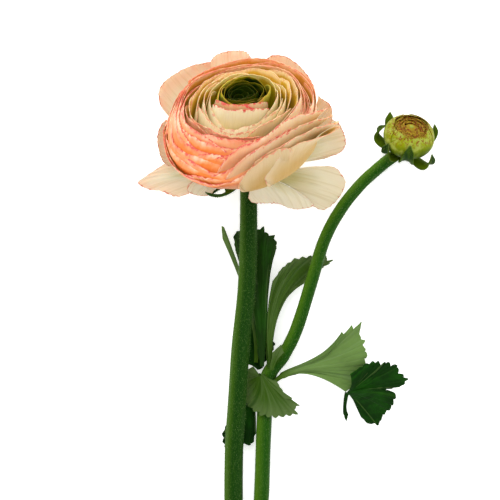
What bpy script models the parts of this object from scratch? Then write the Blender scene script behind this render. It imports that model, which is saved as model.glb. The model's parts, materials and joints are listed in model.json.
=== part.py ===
"""A cut ranunculus lying down: an open bloom on its thick stem, and a side shoot with leaves and a bud.

X runs across the flower, Y along it from the cut end to the bloom, and Z up from the surface it lies on.
Sizes are in millimetres here and are turned into metres as the pieces are made.
"""

import math

import bpy
import numpy as np
from mathutils import Matrix

MM = 0.001
COLLECTION = "ranunculus"
GAP = 0.3  # left between pieces that grow from one another

# Bloom: a nest of petals on an axis that leans back from upright.
BLOOM_BASE = np.array([0.0, 6.5, 15.0])
BLOOM_AXIS = np.array([-0.12, 0.745, 0.656])
RING_PETALS = 20
BELLY_RADII = (7.2, 27.6)
GOLDEN_ANGLE = math.radians(137.508)
FIRST_PETAL_ANGLE = math.radians(20)
PETAL_HALF_ANGLE = math.radians(64)
CLAW_HALF_WIDTH = 0.9
PETAL_THICK = 0.32
PETAL_GRID = (8, 9)  # rows along a petal and columns across it
CORNER_CUT = 0.16  # how much sooner a petal ends at its corners
FRONT = math.radians(270)  # the side of the bloom that faces down the stem

# Heights along the bloom's axis, at the inner petals and at the outer ones.
CLAW_HEIGHTS = (8.0, 2.6)
BELLY_HEIGHTS = (23.0, 18.0)
RIM_HEIGHTS = (34.5, 30.0)
RIM_LEANS = (0.6, 1.8)
FRONT_DROP = 3.0
BOWL = 0.8  # how soon a shell turns up from its claw: lower is flatter underneath

# Profiles are points of (radius, height) from the top of a turned solid to its foot.
RECEPTACLE_PROFILE = (
    (0.0, 9.0), (1.4, 8.6), (2.4, 7.0), (3.3, 4.0), (4.0, 1.4), (3.9, -0.6), (2.9, -1.6), (0.0, -1.6),
)
HEART_PROFILE = (
    (0.0, 31.0), (2.6, 30.4), (4.4, 28.6), (5.2, 25.6), (4.9, 19.0), (3.6, 13.0), (1.7, 9.6), (0.0, 9.4),
)

STEM_RADII = (3.3, 3.35, 3.35, 3.3, 3.25, 3.25, 3.2, 3.1, 3.05, 2.95, 2.8)
STEM_PATH = (
    (-1.5, -178.0, 3.4), (-3.0, -150.0, 4.2), (-4.4, -125.0, 5.4), (-4.6, -97.0, 7.6), (-3.3, -75.0, 9.6),
    (-1.9, -54.0, 10.6), (0.0, -36.0, 10.8), (0.7, -16.0, 10.3), (0.8, -4.5, 10.0), (0.65, 1.8, 11.2),
    (0.23, 5.08, 13.75),
)
SHOOT_PATH = (
    (1.75, -135.0, 4.9), (3.9, -125.0, 4.1), (5.3, -111.0, 3.4), (6.2, -86.0, 3.2), (7.5, -68.0, 3.4),
    (13.2, -59.6, 4.9), (17.8, -50.4, 6.6), (22.9, -34.2, 8.6), (27.9, -18.0, 9.2), (33.7, -7.2, 8.6),
    (40.9, 1.8, 5.9), (46.9, 7.4, 3.6), (52.2, 11.6, 2.7), (55.1, 13.6, 3.0), (56.5, 14.9, 4.2),
)
SHOOT_RADII = (2.2, 2.5, 2.7, 2.7, 2.75, 2.4, 2.3, 2.25, 2.2, 2.15, 2.15, 2.15, 2.15, 2.1, 2.1)

BUD_BASE = np.array([56.8, 15.7, 5.6])
BUD_AXIS = np.array([0.2, 0.48, 0.855])
BUD_RADIUS = 9.1
BUD_MIDDLE = 6.9
BUD_PROFILE = (
    (0.0, 13.0), (2.4, 12.8), (5.2, 11.8), (7.4, 9.6), (8.1, 6.9),
    (7.2, 3.8), (4.6, 1.5), (2.4, 0.5), (0.0, 0.4),
)
BUD_PETALS = 3
BUD_FIRST_PETAL_ANGLE = math.radians(30)
BUD_PETAL_GRID = (7, 7)
BUD_PETAL_THICK = 0.4
BUD_PETAL_HALF_ANGLE = math.radians(54)
BUD_PETAL_TURNS = (22, 128)  # degrees from the bud's foot at which a petal starts and ends

BLADE_ROWS = 8
LEAF_THICK = 0.6
STALK_THICK = 1.7
STALK_HALF_WIDTH = 0.7

# Guard petals: the angle at which the claw leaves the bloom, two points that shape the blade's way, how far
# the veins have spread at the second one, and the rim from one side round to the other.
GUARD_CLAW_HEIGHT = 1.6
GUARDS = {
    "guard_petal_back": (97, (1.4, 16.0, 3.0), (-4.0, 36.0, -1.4), 0.75, (
        (-13.6, 44.6, 2.2), (-12.0, 47.6, 3.2), (-9.2, 49.3, 4.2), (-4.9, 50.0, 4.6),
        (-0.4, 49.6, 4.2), (1.4, 47.8, 3.0), (2.4, 44.0, 1.9))),
    "guard_petal_back_left": (135, (-7.0, 16.0, 3.6), (-20.0, 30.0, -2.2), 0.75, (
        (-27.0, 25.0, 9.0), (-30.6, 30.0, 9.0), (-31.4, 35.0, 8.4), (-29.4, 38.8, 7.6),
        (-24.6, 41.7, 6.8), (-20.0, 43.4, 6.2), (-15.2, 44.0, 4.0))),
    "guard_petal_back_right": (58, (7.0, 17.0, 4.2), (15.0, 31.0, -1.6), 0.75, (
        (5.6, 44.6, 3.6), (8.4, 47.9, 5.6), (13.1, 47.9, 7.0), (17.6, 45.6, 8.4),
        (21.3, 42.3, 9.6), (24.0, 37.6, 10.8), (24.6, 32.6, 10.6))),
    "guard_petal_right_upper": (24, (12.0, 15.8, 14.2), (27.5, 22.0, 12.4), 0.45, (
        (26.0, 33.6, 22.0), (28.4, 31.4, 22.6), (29.8, 28.8, 23.0), (30.6, 25.6, 22.6),
        (29.6, 22.4, 21.0))),
    "guard_petal_right": (2, (12.0, 10.0, 13.4), (26.0, 15.0, 9.6), 0.65, (
        (30.7, 25.0, 17.0), (33.0, 23.8, 17.6), (34.2, 21.5, 18.0), (35.2, 18.6, 17.6),
        (35.2, 15.4, 16.4), (33.0, 12.8, 15.0), (27.8, 10.8, 13.0))),
    "guard_petal_right_low": (345, (11.0, 4.2, 13.6), (21.0, 4.6, 10.8), 0.4, (
        (24.8, 8.8, 8.0), (31.2, 8.0, 8.2), (34.0, 5.6, 8.0), (35.5, 2.5, 7.4), (33.9, -1.9, 7.8),
        (30.9, -5.3, 7.8), (27.3, -7.2, 8.0), (24.2, -6.2, 9.0), (20.5, -3.6, 10.2))),
    "guard_petal_front": (312, (6.0, 4.0, 20.0), (10.0, 0.6, 20.5), 0.6, (
        (21.6, -3.2, 15.2), (24.2, -5.2, 14.6), (22.4, -6.6, 14.8), (17.2, -6.8, 15.2),
        (11.8, -5.2, 15.8), (7.0, -5.2, 16.4), (2.4, -4.8, 17.0), (0.6, -3.0, 17.8))),
    "guard_petal_left": (165, (-11.0, 11.0, 12.0), (-27.0, 14.0, 7.0), 0.7, (
        (-28.0, 8.6, 12.5), (-31.0, 11.2, 14.4), (-32.4, 15.0, 15.8), (-32.6, 19.0, 16.8),
        (-31.6, 23.0, 17.2), (-29.6, 26.6, 17.4))),
    "guard_petal_left_low": (196, (-11.0, 5.2, 12.2), (-24.0, 6.4, 6.6), 0.35, (
        (-29.4, 9.4, 8.0), (-35.2, 5.6, 8.0), (-38.9, 2.4, 7.8), (-34.8, 0.0, 6.8),
        (-31.0, -0.4, 6.4), (-27.6, -1.8, 6.2), (-24.6, -2.5, 6.4), (-20.6, -1.4, 7.0))),
    "guard_petal_front_left": (228, (-7.6, 4.4, 14.2), (-13.8, 3.6, 12.6), 0.55, (
        (-20.9, 2.0, 11.6), (-21.0, -0.4, 11.2), (-18.6, -1.8, 11.0), (-15.4, -2.4, 11.2),
        (-12.2, -1.6, 11.8))),
}

# Sepals of the bloom: claw angle, the two shaping points, the tip, and the way it lies across at its tip.
# They bend back along the stem.
SEPALS = {
    "sepal_left": (222, (-6.4, 1.8, 14.4), (-10.0, 0.6, 15.0), (-12.4, -1.6, 14.4), (0.3, 0.6, 0.7)),
    "sepal_front": (245, (-4.0, -1.6, 18.6), (-10.8, -4.2, 17.4), (-14.7, -0.9, 15.8), (0.0, 0.35, 0.9)),
    "sepal_right": (330, (7.5, 2.6, 14.6), (10.0, 0.4, 10.0), (13.0, -1.6, 9.6), (0.6, 0.6, 0.4)),
    "sepal_back_right": (45, (6.4, 6.0, 9.4), (7.0, 1.6, 5.0), (7.6, -1.4, 4.6), (0.9, 0.3, 0.0)),
    "sepal_back_left": (130, (-5.8, 6.0, 8.6), (-6.4, 1.8, 4.8), (-7.0, -1.4, 4.6), (-0.9, 0.3, 0.0)),
}
SEPAL_CLAW_RADIUS = 4.5
SEPAL_CLAW_HEIGHT = -0.2
SEPAL_HALF_WIDTH = 1.5
SEPAL_THICK = 0.5

# Bud sepals: claw angle round the bud's axis, the second shaping point and the tip as (radius, height) on
# the bud, and half the width.
BUD_SEPAL_FOOT = ((2.75, -0.4), (6.5, -1.0))
BUD_SEPALS = {
    "bud_sepal_right": (20, (15.0, 1.0), (10.6, 10.6), 2.2),
    "bud_sepal_back_left": (112, (11.6, 1.6), (13.4, 8.6), 2.2),
    "bud_sepal_left": (162, (17.0, 0.6), (10.4, 8.4), 2.2),
    "bud_sepal_front_left": (213, (12.0, 0.6), (9.9, 6.0), 2.2),
    "bud_sepal_front": (263, (13.2, 5.0), (7.6, 13.0), 2.2),
    "bud_sepal_front_right": (313, (15.4, -3.6), (13.0, 7.6), 2.0),
}

# Leaves: where the stalk starts, two points that shape the veins' way, how far the veins have spread at the
# second one, and the rim from one side round to the other, with a point for each tooth and notch.
LEAVES = {
    "leaf_right": ((11.6, -67.2, 4.6), (17.5, -63.0, 8.0), (27.5, -65.6, 11.0), 0.35, (
        (32.6, -52.8, 12.6), (35.2, -51.2, 12.8), (38.4, -49.4, 13.2), (41.1, -48.0, 13.6),
        (41.6, -53.0, 12.8), (42.8, -56.6, 12.8), (42.4, -60.0, 12.0), (41.4, -64.0, 10.6),
        (38.4, -69.4, 9.0), (35.8, -72.0, 8.2))),
    "leaf_right_front": ((36.9, -72.6, 9.2), (39.0, -71.8, 12.4), (43.0, -70.8, 15.4), 0.3, (
        (37.0, -65.8, 15.4), (42.4, -62.6, 16.0), (47.0, -61.5, 15.0), (48.2, -63.0, 14.8),
        (50.6, -61.7, 14.2), (51.4, -63.4, 13.8), (53.8, -63.1, 13.2), (54.0, -65.4, 13.0),
        (57.0, -68.0, 11.2), (55.2, -70.2, 10.8), (52.0, -71.6, 11.4), (53.0, -73.4, 10.4),
        (51.9, -77.6, 8.6), (49.4, -80.0, 7.6), (47.4, -84.1, 5.6), (45.6, -83.6, 5.9),
        (43.6, -83.9, 5.8), (41.0, -81.4, 6.6))),
    "leaf_right_curl": ((36.0, -72.8, 7.4), (35.6, -75.0, 7.0), (34.8, -79.0, 5.0), 0.5, (
        (36.6, -80.6, 3.6), (35.9, -83.2, 2.4), (35.0, -80.4, 3.6))),
    "leaf_middle": ((8.6, -63.6, 7.4), (7.4, -48.1, 5.4), (13.9, -34.0, 3.5), 0.15, (
        (22.7, -33.9, 3.7), (25.3, -31.3, 3.2), (28.9, -27.8, 3.3), (30.6, -25.6, 3.4),
        (28.5, -24.0, 4.2), (25.2, -23.6, 4.8), (18.4, -24.4, 4.8), (13.4, -28.6, 6.0))),
    "leaf_upright": ((5.6, -63.4, 6.6), (5.8, -46.0, 5.8), (3.0, -30.0, 5.2), 0.5, (
        (10.4, -22.4, 5.6), (10.6, -19.0, 5.6), (9.9, -18.2, 5.6), (9.4, -16.2, 5.6),
        (7.5, -16.6, 5.6), (5.6, -13.6, 5.6), (2.0, -16.2, 5.4), (-1.2, -14.4, 5.2),
        (-3.9, -15.6, 5.0), (-4.0, -21.6, 4.8))),
    "leaf_slender": ((3.4, -62.0, 4.0), (4.4, -48.0, 3.8), (-1.4, -32.0, 3.4), 0.4, (
        (-5.6, -16.4, 3.4), (-7.9, -12.7, 3.6), (-8.9, -13.4, 3.6), (-9.0, -18.0, 3.4))),
    "leaf_tucked": ((4.6, -64.6, 2.0), (3.6, -60.0, 1.9), (2.6, -55.0, 1.8), 0.45, (
        (-1.0, -62.6, 1.8), (-3.0, -59.6, 1.8), (-2.8, -54.0, 1.8), (0.4, -48.4, 1.8),
        (3.4, -45.1, 1.8), (6.6, -49.4, 1.7), (9.9, -55.6, 1.6), (9.0, -58.4, 1.6),
        (8.6, -60.6, 1.6))),
    "bract": ((9.0, -64.4, 9.0), (9.2, -62.0, 9.6), (10.6, -59.6, 9.6), 0.4, (
        (9.2, -58.4, 9.4), (10.7, -57.0, 9.8), (12.4, -55.4, 10.4), (13.4, -58.4, 9.6))),
    "leaf_broad": ((5.4, -66.4, 7.2), (6.2, -69.0, 7.2), (9.4, -73.4, 7.2), 0.5, (
        (11.0, -68.6, 7.4), (13.5, -72.4, 7.4), (14.6, -73.9, 7.4), (16.4, -75.2, 7.2),
        (17.0, -76.4, 7.2), (18.4, -77.6, 7.0), (17.8, -79.0, 7.0), (17.6, -80.4, 6.8),
        (13.4, -80.9, 6.9), (9.6, -81.2, 7.0), (5.4, -80.4, 6.8), (2.0, -78.2, 6.2),
        (-0.6, -75.4, 5.2), (-2.4, -70.4, 4.9), (-1.6, -65.6, 5.2), (2.4, -63.4, 6.4))),
    "leaf_low": ((1.6, -67.4, 1.9), (1.2, -71.0, 1.7), (0.6, -79.0, 1.6), 0.45, (
        (2.9, -83.8, 1.6), (2.6, -87.6, 1.6), (1.4, -91.7, 1.6), (-1.3, -91.2, 1.6),
        (-4.4, -92.6, 1.6), (-7.6, -92.2, 1.6), (-8.2, -88.6, 1.7), (-6.4, -83.0, 1.8))),
}

STRAP_STEPS = 6
STRAP_END_SHARE = 0.25  # width that a strap keeps at its ends
KNEE_SHARE = 0.25  # how much of a vein's spread is there already at its first shaping point
LEAD_SHARE = 0.8  # how far along the midrib a side vein leaves it, as a share of its end's own place


def clear_scene():
    """Leave an empty scene with one collection for the flower."""
    for thing in list(bpy.data.objects):
        bpy.data.objects.remove(thing, do_unlink=True)
    collection = bpy.data.collections.new(COLLECTION)
    bpy.context.scene.collection.children.link(collection)
    return collection


def material(name, colour, roughness):
    """A Principled material in one colour."""
    made = bpy.data.materials.new(name)
    made.use_nodes = True
    shader = made.node_tree.nodes["Principled BSDF"]
    shader.inputs["Base Color"].default_value = (*colour, 1.0)
    shader.inputs["Roughness"].default_value = roughness
    shader.inputs["Metallic"].default_value = 0.0
    made.diffuse_color = (*colour, 1.0)
    return made


def unit(vector):
    return np.asarray(vector, float) / np.linalg.norm(vector)


def frame_on(axis):
    """Unit vectors across an axis and along it: right, back and up."""
    up = unit(axis)
    back = unit(np.array([0.0, 1.0, 0.0]) - up[1] * up)
    return np.cross(back, up), back, up


def lerp(ends, share):
    return ends[0] + (ends[1] - ends[0]) * share


def smooth_path(points, steps):
    """A Catmull-Rom curve through the points, with this many steps between each pair."""
    points = np.asarray(points, float)
    ends = np.vstack([2 * points[0] - points[1], points, 2 * points[-1] - points[-2]])
    path = []
    for i in range(len(points) - 1):
        a, b, c, d = ends[i : i + 4]
        for t in np.linspace(0, 1, steps, endpoint=False):
            bend = (2 * a - 5 * b + 4 * c - d) * t**2 + (3 * b - a - 3 * c + d) * t**3
            path.append(0.5 * (2 * b + (c - a) * t + bend))
    path.append(points[-1])
    return np.array(path)


def curve(start, first, second, end, t):
    """Points on a cubic Bezier curve."""
    s = 1 - t
    return start * s**3 + 3 * first * t * s**2 + 3 * second * t**2 * s + end * t**3


def add_object(collection, name, data, finish):
    made = bpy.data.objects.new(name, data)
    data.materials.clear()
    data.materials.append(finish)
    collection.objects.link(made)
    return made


def sheet(collection, name, points, finish, thick, flesh=None):
    """A closed thin piece on a grid of points, indexed [along, across]. Where flesh is given, it is the
    share of the thickness that each row has."""
    rows, columns = points.shape[:2]
    bpy.ops.mesh.primitive_grid_add(x_subdivisions=columns - 1, y_subdivisions=rows - 1, size=2)
    made = bpy.context.object
    made.name = name
    for vertex in made.data.vertices:
        column = round((vertex.co.x + 1) / 2 * (columns - 1))
        row = round((vertex.co.y + 1) / 2 * (rows - 1))
        vertex.co = points[row, column] * MM
    for face in made.data.polygons:
        face.use_smooth = True
    made.data.materials.append(finish)
    solidify = made.modifiers.new("Thickness", "SOLIDIFY")
    solidify.thickness = thick * MM
    solidify.offset = 0.0
    if flesh is not None:
        group = made.vertex_groups.new(name="flesh")
        for row in range(rows):
            group.add([row * columns + column for column in range(columns)], float(flesh[row]), "REPLACE")
        solidify.vertex_group = group.name
        solidify.thickness_vertex_group = 0.0
    for old in list(made.users_collection):
        old.objects.unlink(made)
    collection.objects.link(made)
    return made


def turned(collection, name, profile, base, axis, finish, steps=20):
    """A turned solid from a profile of (radius, height) points, standing on its base along the axis."""
    data = bpy.data.meshes.new(name)
    points = [(radius * MM, 0.0, height * MM) for radius, height in profile]
    data.from_pydata(points, [(i, i + 1) for i in range(len(points) - 1)], [])
    made = add_object(collection, name, data, finish)
    screw = made.modifiers.new("Turn", "SCREW")
    screw.steps = steps
    screw.render_steps = steps
    screw.use_merge_vertices = True
    screw.merge_threshold = 1e-6
    screw.use_smooth_shade = True
    right, back, up = frame_on(axis)
    made.matrix_world = Matrix([[right[i], back[i], up[i], base[i] * MM] for i in range(3)] + [[0, 0, 0, 1]])
    return made


def stem(collection, name, path, radii, finish, steps):
    """A round stem along a smooth path, with flat cut ends."""
    data = bpy.data.curves.new(name, "CURVE")
    data.dimensions = "3D"
    data.bevel_depth = MM
    data.bevel_resolution = 4
    data.use_fill_caps = True
    points = smooth_path(path, steps)
    sizes = smooth_path(np.reshape(radii, (-1, 1)), steps)[:, 0]
    spline = data.splines.new("POLY")
    spline.points.add(len(points) - 1)
    for point, place, size in zip(spline.points, points, sizes):
        point.co = (*(place * MM), 1.0)
        point.radius = size
    spline.use_smooth = True
    return add_object(collection, name, data, finish)


def shell_profile(share, along, angle):
    """Radius and height on a petal's shell. share is 0 at the innermost shell and 1 at the outermost, and
    along runs from the claw at 0 through the belly at 0.5 to the rim at 1."""
    radius = lerp(BELLY_RADII, share)
    claw_height = lerp(CLAW_HEIGHTS, share)
    claw_radius = receptacle_radius(claw_height) + GAP + PETAL_THICK / 2
    belly = lerp(BELLY_HEIGHTS, share)
    front = max(0.0, math.cos(angle - FRONT)) * share
    if along <= 0.5:
        turn = along * math.pi
        return (
            claw_radius + (radius - claw_radius) * math.sin(turn),
            claw_height + (belly - claw_height) * (1 - math.cos(turn)) ** BOWL,
        )
    rise = (along - 0.5) / 0.5
    rim = lerp(RIM_HEIGHTS, share**1.5) - FRONT_DROP * front
    return radius - lerp(RIM_LEANS, share) * rise**2, belly + (rim - belly) * rise


def receptacle_radius(height):
    rising = sorted(RECEPTACLE_PROFILE[:5], key=lambda point: point[1])
    return float(np.interp(height, [point[1] for point in rising], [point[0] for point in rising]))


def in_frame(base, axis, radius, angle, height):
    """A point at a radius, angle and height round an axis."""
    right, back, up = frame_on(axis)
    return base + radius * (math.cos(angle) * right + math.sin(angle) * back) + height * up


def ring_petal(collection, index, finish):
    """One petal of the nest, on a shell of its own, a golden angle on from the one inside it."""
    share = index / (RING_PETALS - 1)
    middle = FIRST_PETAL_ANGLE + index * GOLDEN_ANGLE
    rows, columns = PETAL_GRID
    points = np.empty((rows, columns, 3))
    for row, up in enumerate(np.linspace(0, 1, rows)):
        for column, side in enumerate(np.linspace(-1, 1, columns)):
            along = up * (1 - CORNER_CUT * abs(side) ** 3)
            radius, _ = shell_profile(share, along, middle)
            claw = CLAW_HALF_WIDTH / radius
            spread = math.sin(min(1.0, along / 0.6) * math.pi / 2) ** 1.6
            angle = middle + side * (claw + (PETAL_HALF_ANGLE - claw) * spread)
            radius, height = shell_profile(share, along, angle)
            points[row, column] = in_frame(BLOOM_BASE, BLOOM_AXIS, radius, angle, height)
    return sheet(collection, f"petal_{index + 1:02d}", points, finish, PETAL_THICK)


def vane(start, first, second, spread, rim, across, half_width):
    """A blade whose veins run from a narrow foot through two shaping points and fan out to the rim. Veins
    that end near the foot leave the midrib early. Returns points indexed [along, across]."""
    start, first, second, rim = (np.asarray(point, float) for point in (start, first, second, rim))
    side = np.linspace(-1, 1, len(rim))[:, None]
    midrib = second - start
    lead = np.clip(LEAD_SHARE * (rim - start) @ midrib / (midrib @ midrib), 0, 1)[:, None]
    fan = spread * (rim - start - lead * (rim.mean(axis=0) - start))
    foot = start + across * half_width * side
    knee = foot + lead * (first - start) + KNEE_SHARE * fan
    hip = start + lead * midrib + fan
    t = np.linspace(0, 1, BLADE_ROWS)[:, None, None]
    return curve(foot, knee, hip, rim, t)


def guard_petal(collection, name, finish):
    """One of the loose outer petals, whose claw leaves the receptacle under the nest."""
    degrees, first, second, spread, rim = GUARDS[name]
    angle = math.radians(degrees)
    radius = receptacle_radius(GUARD_CLAW_HEIGHT) + GAP + PETAL_THICK
    start = in_frame(BLOOM_BASE, BLOOM_AXIS, radius, angle, GUARD_CLAW_HEIGHT)
    across = unit(np.asarray(rim[-1]) - np.asarray(rim[0]))
    rim = smooth_path(rim, 2 if len(rim) < 6 else 1)
    points = vane(start, first, second, spread, rim, across, CLAW_HALF_WIDTH)
    return sheet(collection, name, points, finish, PETAL_THICK)


def strap(collection, name, start, first, second, tip, lie, half_width, finish):
    """A narrow pointed piece along a curve. lie is the way it lies across at its foot and at its tip."""
    start, first, second, tip = (np.asarray(point, float) for point in (start, first, second, tip))
    points = np.empty((STRAP_STEPS, 3, 3))
    for row, t in enumerate(np.linspace(0, 1, STRAP_STEPS)):
        place = curve(start, first, second, tip, t)
        swell = math.sin(math.pi * (0.15 + 0.8 * t))
        width = half_width * lerp((STRAP_END_SHARE, 1), swell)
        across = unit(lerp(lie, t))
        for column in range(3):
            points[row, column] = place + across * width * (column - 1)
    return sheet(collection, name, points, finish, SEPAL_THICK)


def round_way(axis, angle):
    """The way round an axis at an angle."""
    right, back, _ = frame_on(axis)
    return unit(-math.sin(angle) * right + math.cos(angle) * back)


def bloom_sepal(collection, name, finish):
    degrees, first, second, tip, tip_lie = SEPALS[name]
    angle = math.radians(degrees)
    start = in_frame(BLOOM_BASE, BLOOM_AXIS, SEPAL_CLAW_RADIUS, angle, SEPAL_CLAW_HEIGHT)
    lie = (round_way(BLOOM_AXIS, angle), unit(tip_lie))
    return strap(collection, name, start, first, second, tip, lie, SEPAL_HALF_WIDTH, finish)


def bud_sepal(collection, name, finish):
    degrees, middle, tip, half_width = BUD_SEPALS[name]
    angle = math.radians(degrees)
    spots = (*BUD_SEPAL_FOOT, middle, tip)
    start, first, second, end = (in_frame(BUD_BASE, BUD_AXIS, r, angle, h) for r, h in spots)
    across = round_way(BUD_AXIS, angle)
    return strap(collection, name, start, first, second, end, (across, across), half_width, finish)


def bud_petal(collection, index, finish):
    """One of the bud's closed outer petals, wrapped over the core."""
    middle = BUD_FIRST_PETAL_ANGLE + index * 2 * math.pi / BUD_PETALS
    rows, columns = BUD_PETAL_GRID
    points = np.empty((rows, columns, 3))
    for row, up in enumerate(np.linspace(0, 1, rows)):
        for column, side in enumerate(np.linspace(-1, 1, columns)):
            turn = math.radians(lerp(BUD_PETAL_TURNS, up * (1 - CORNER_CUT * abs(side) ** 3)))
            angle = middle + side * BUD_PETAL_HALF_ANGLE
            radius = BUD_RADIUS * math.sin(turn)
            height = BUD_MIDDLE * (1 - math.cos(turn))
            points[row, column] = in_frame(BUD_BASE, BUD_AXIS, radius, angle, height)
    return sheet(collection, f"bud_petal_{index + 1}", points, finish, BUD_PETAL_THICK)


def leaf(collection, name, finish):
    start, first, second, spread, rim = LEAVES[name]
    across = np.asarray(rim[-1], float) - np.asarray(rim[0], float)
    run = np.asarray(first, float) - np.asarray(start, float)
    across = unit(across - np.dot(across, unit(run)) * unit(run))
    points = vane(start, first, second, spread, rim, across, STALK_HALF_WIDTH)
    flesh = np.maximum(LEAF_THICK / STALK_THICK, np.linspace(1, -1, BLADE_ROWS))
    return sheet(collection, name, points, finish, STALK_THICK, flesh)


def set_down(collection):
    """Move every piece so that the box round the flower stands on the origin, by its bottom centre."""
    bpy.context.view_layer.update()
    graph = bpy.context.evaluated_depsgraph_get()
    corners = []
    for thing in collection.objects:
        shape = thing.evaluated_get(graph)
        mesh = shape.to_mesh()
        places = np.empty(len(mesh.vertices) * 3, np.float32)
        mesh.vertices.foreach_get("co", places)
        matrix = np.array(shape.matrix_world)
        places = places.reshape(-1, 3) @ matrix[:3, :3].T + matrix[:3, 3]
        corners += [places.min(axis=0), places.max(axis=0)]
        shape.to_mesh_clear()
    low, high = np.min(corners, axis=0), np.max(corners, axis=0)
    shift = np.array([-(low[0] + high[0]) / 2, -(low[1] + high[1]) / 2, -low[2]])
    for thing in collection.objects:
        thing.location = np.array(thing.location) + shift


def main():
    collection = clear_scene()
    petal = material("petal", (0.93, 0.62, 0.42), 0.55)
    guard = material("guard_petal", (0.93, 0.84, 0.66), 0.55)
    heart = material("heart", (0.10, 0.22, 0.03), 0.6)
    stem_skin = material("stem", (0.12, 0.26, 0.04), 0.55)
    leaf_skin = material("leaf", (0.05, 0.20, 0.04), 0.5)
    bud_skin = material("bud", (0.60, 0.68, 0.20), 0.5)

    stem(collection, "stem_main", STEM_PATH, STEM_RADII, stem_skin, 3)
    stem(collection, "stem_side", SHOOT_PATH, SHOOT_RADII, stem_skin, 3)
    turned(collection, "receptacle", RECEPTACLE_PROFILE, BLOOM_BASE, BLOOM_AXIS, stem_skin)
    turned(collection, "heart", HEART_PROFILE, BLOOM_BASE, BLOOM_AXIS, heart)
    for index in range(RING_PETALS):
        ring_petal(collection, index, petal)
    for name in GUARDS:
        guard_petal(collection, name, guard)
    for name in SEPALS:
        bloom_sepal(collection, name, leaf_skin)

    turned(collection, "bud_core", BUD_PROFILE, BUD_BASE, BUD_AXIS, bud_skin)
    for index in range(BUD_PETALS):
        bud_petal(collection, index, bud_skin)
    for name in BUD_SEPALS:
        bud_sepal(collection, name, leaf_skin)
    for name in LEAVES:
        leaf(collection, name, leaf_skin)
    set_down(collection)


main()
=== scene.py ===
import json
import math

import bpy
import numpy as np
from bpy.props import FloatProperty, FloatVectorProperty, IntProperty, PointerProperty
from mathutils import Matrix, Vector

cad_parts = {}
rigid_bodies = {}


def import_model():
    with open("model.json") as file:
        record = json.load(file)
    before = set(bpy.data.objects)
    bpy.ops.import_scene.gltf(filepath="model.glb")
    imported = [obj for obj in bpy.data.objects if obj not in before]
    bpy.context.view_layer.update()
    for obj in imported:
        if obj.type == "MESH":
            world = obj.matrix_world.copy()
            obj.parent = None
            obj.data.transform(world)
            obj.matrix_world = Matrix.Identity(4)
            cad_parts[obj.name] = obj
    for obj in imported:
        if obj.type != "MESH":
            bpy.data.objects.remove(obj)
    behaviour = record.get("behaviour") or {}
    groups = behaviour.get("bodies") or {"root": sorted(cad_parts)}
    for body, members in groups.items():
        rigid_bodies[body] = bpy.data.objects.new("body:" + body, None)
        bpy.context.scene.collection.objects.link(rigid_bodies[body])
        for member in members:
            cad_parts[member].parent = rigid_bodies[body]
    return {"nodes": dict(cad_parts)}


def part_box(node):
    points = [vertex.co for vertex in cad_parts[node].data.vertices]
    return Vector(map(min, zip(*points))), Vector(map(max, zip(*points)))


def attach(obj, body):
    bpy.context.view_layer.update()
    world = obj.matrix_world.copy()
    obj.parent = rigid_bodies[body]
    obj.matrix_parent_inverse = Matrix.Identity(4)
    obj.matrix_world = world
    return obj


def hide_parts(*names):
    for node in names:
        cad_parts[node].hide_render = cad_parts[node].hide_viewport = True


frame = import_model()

bl_info = {
    "name": "Ranunculus",
    "version": (1, 0, 0),
    "blender": (4, 5, 0),
    "location": "3D View > Sidebar > Ranunculus",
    "description": "A cut ranunculus lying down, with an open bloom, leaves and a side shoot with a bud",
    "category": "Add Mesh",
}

MM = 0.001
GOLDEN_ANGLE = 137.508  # degrees from one petal to the next
KNEE_SHARE = 0.25  # how much of a vein's spread is there already at its first shaping point
BELLY_POWER = 0.7  # how fast a petal of the nest rises from its claw: less is faster
LEAD_SHARE = 0.8  # how far along the midrib a side vein leaves it, as a share of its end's own place

# The bloom's axis starts at its base and leans back from upright. Everything below is in millimetres from the
# point where the stem meets the bloom, and place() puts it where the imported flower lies.
BLOOM_BASE = np.array([0.0, 6.5, 15.0])
BLOOM_AXIS = np.array([-0.12, 0.745, 0.656])
HEART_PROFILE = (
    (0.0, 31.0), (2.6, 30.4), (4.4, 28.6), (5.2, 25.6), (4.9, 19.0), (3.6, 13.0), (1.7, 9.6), (0.0, 9.4))
RECEPTACLE = ((9.0, 0.0), (8.6, 1.4), (7.0, 2.4), (4.0, 3.3), (1.4, 4.0), (-0.6, 3.9))
BUD_BASE = np.array([57.1, 14.2, 6.7])
BUD_AXIS = np.array([0.16, 0.70, 0.70])
BUD_RADIUS = 9.1
BUD_MIDDLE = 6.9  # height of the bud's widest place above its base

# How fine the meshes are: points across a blade or round a stem, then rows along it.
HEART_GRID = (49, 14)
NEST_GRID = (85, 16)
GUARD_GRID = (81, 30)
LEAF_GRID = (161, 40)
LOBE_GRID = (31, 40)
SEPAL_GRID = (11, 26)
BUD_OUTER_GRID = (57, 28)
BUD_INNER_GRID = (41, 18)
AROUND = 49
STEM_STEPS = 14
WIDE_RIM = 6  # a leaf with more rim points than this is a toothed blade, the others are plain lobes

# Thicknesses, and the hairs on sepals and stems, with lengths and widths in millimetres.
LEAF_FOOT = 1.7
SEPAL_WALL = 0.3
BUD_SEPAL_WALL = 0.35
BUD_OUTER_WALL = 0.22
BUD_INNER_WALL = 0.18
SEPAL_FOOT = (4.5, -0.2)  # radius and height on the bloom where its sepals start
SEPAL_HAIRS = 160
SEPAL_HAIR_LENGTH = 0.8
SEPAL_HAIR_WIDTH = 0.035
STEM_HAIR_WIDTH = 0.03
FAR_FROM_EDGE = 5.0  # the edge attribute of what has no edge

# The stage: floor and camera heights in metres, and the place that the camera looks down on, in millimetres.
FLOOR_HEIGHT = -0.0002
CAMERA_HEIGHT = 2.0
VIEW_MIDDLE = (1.26, -21.6, 0.0)

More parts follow.
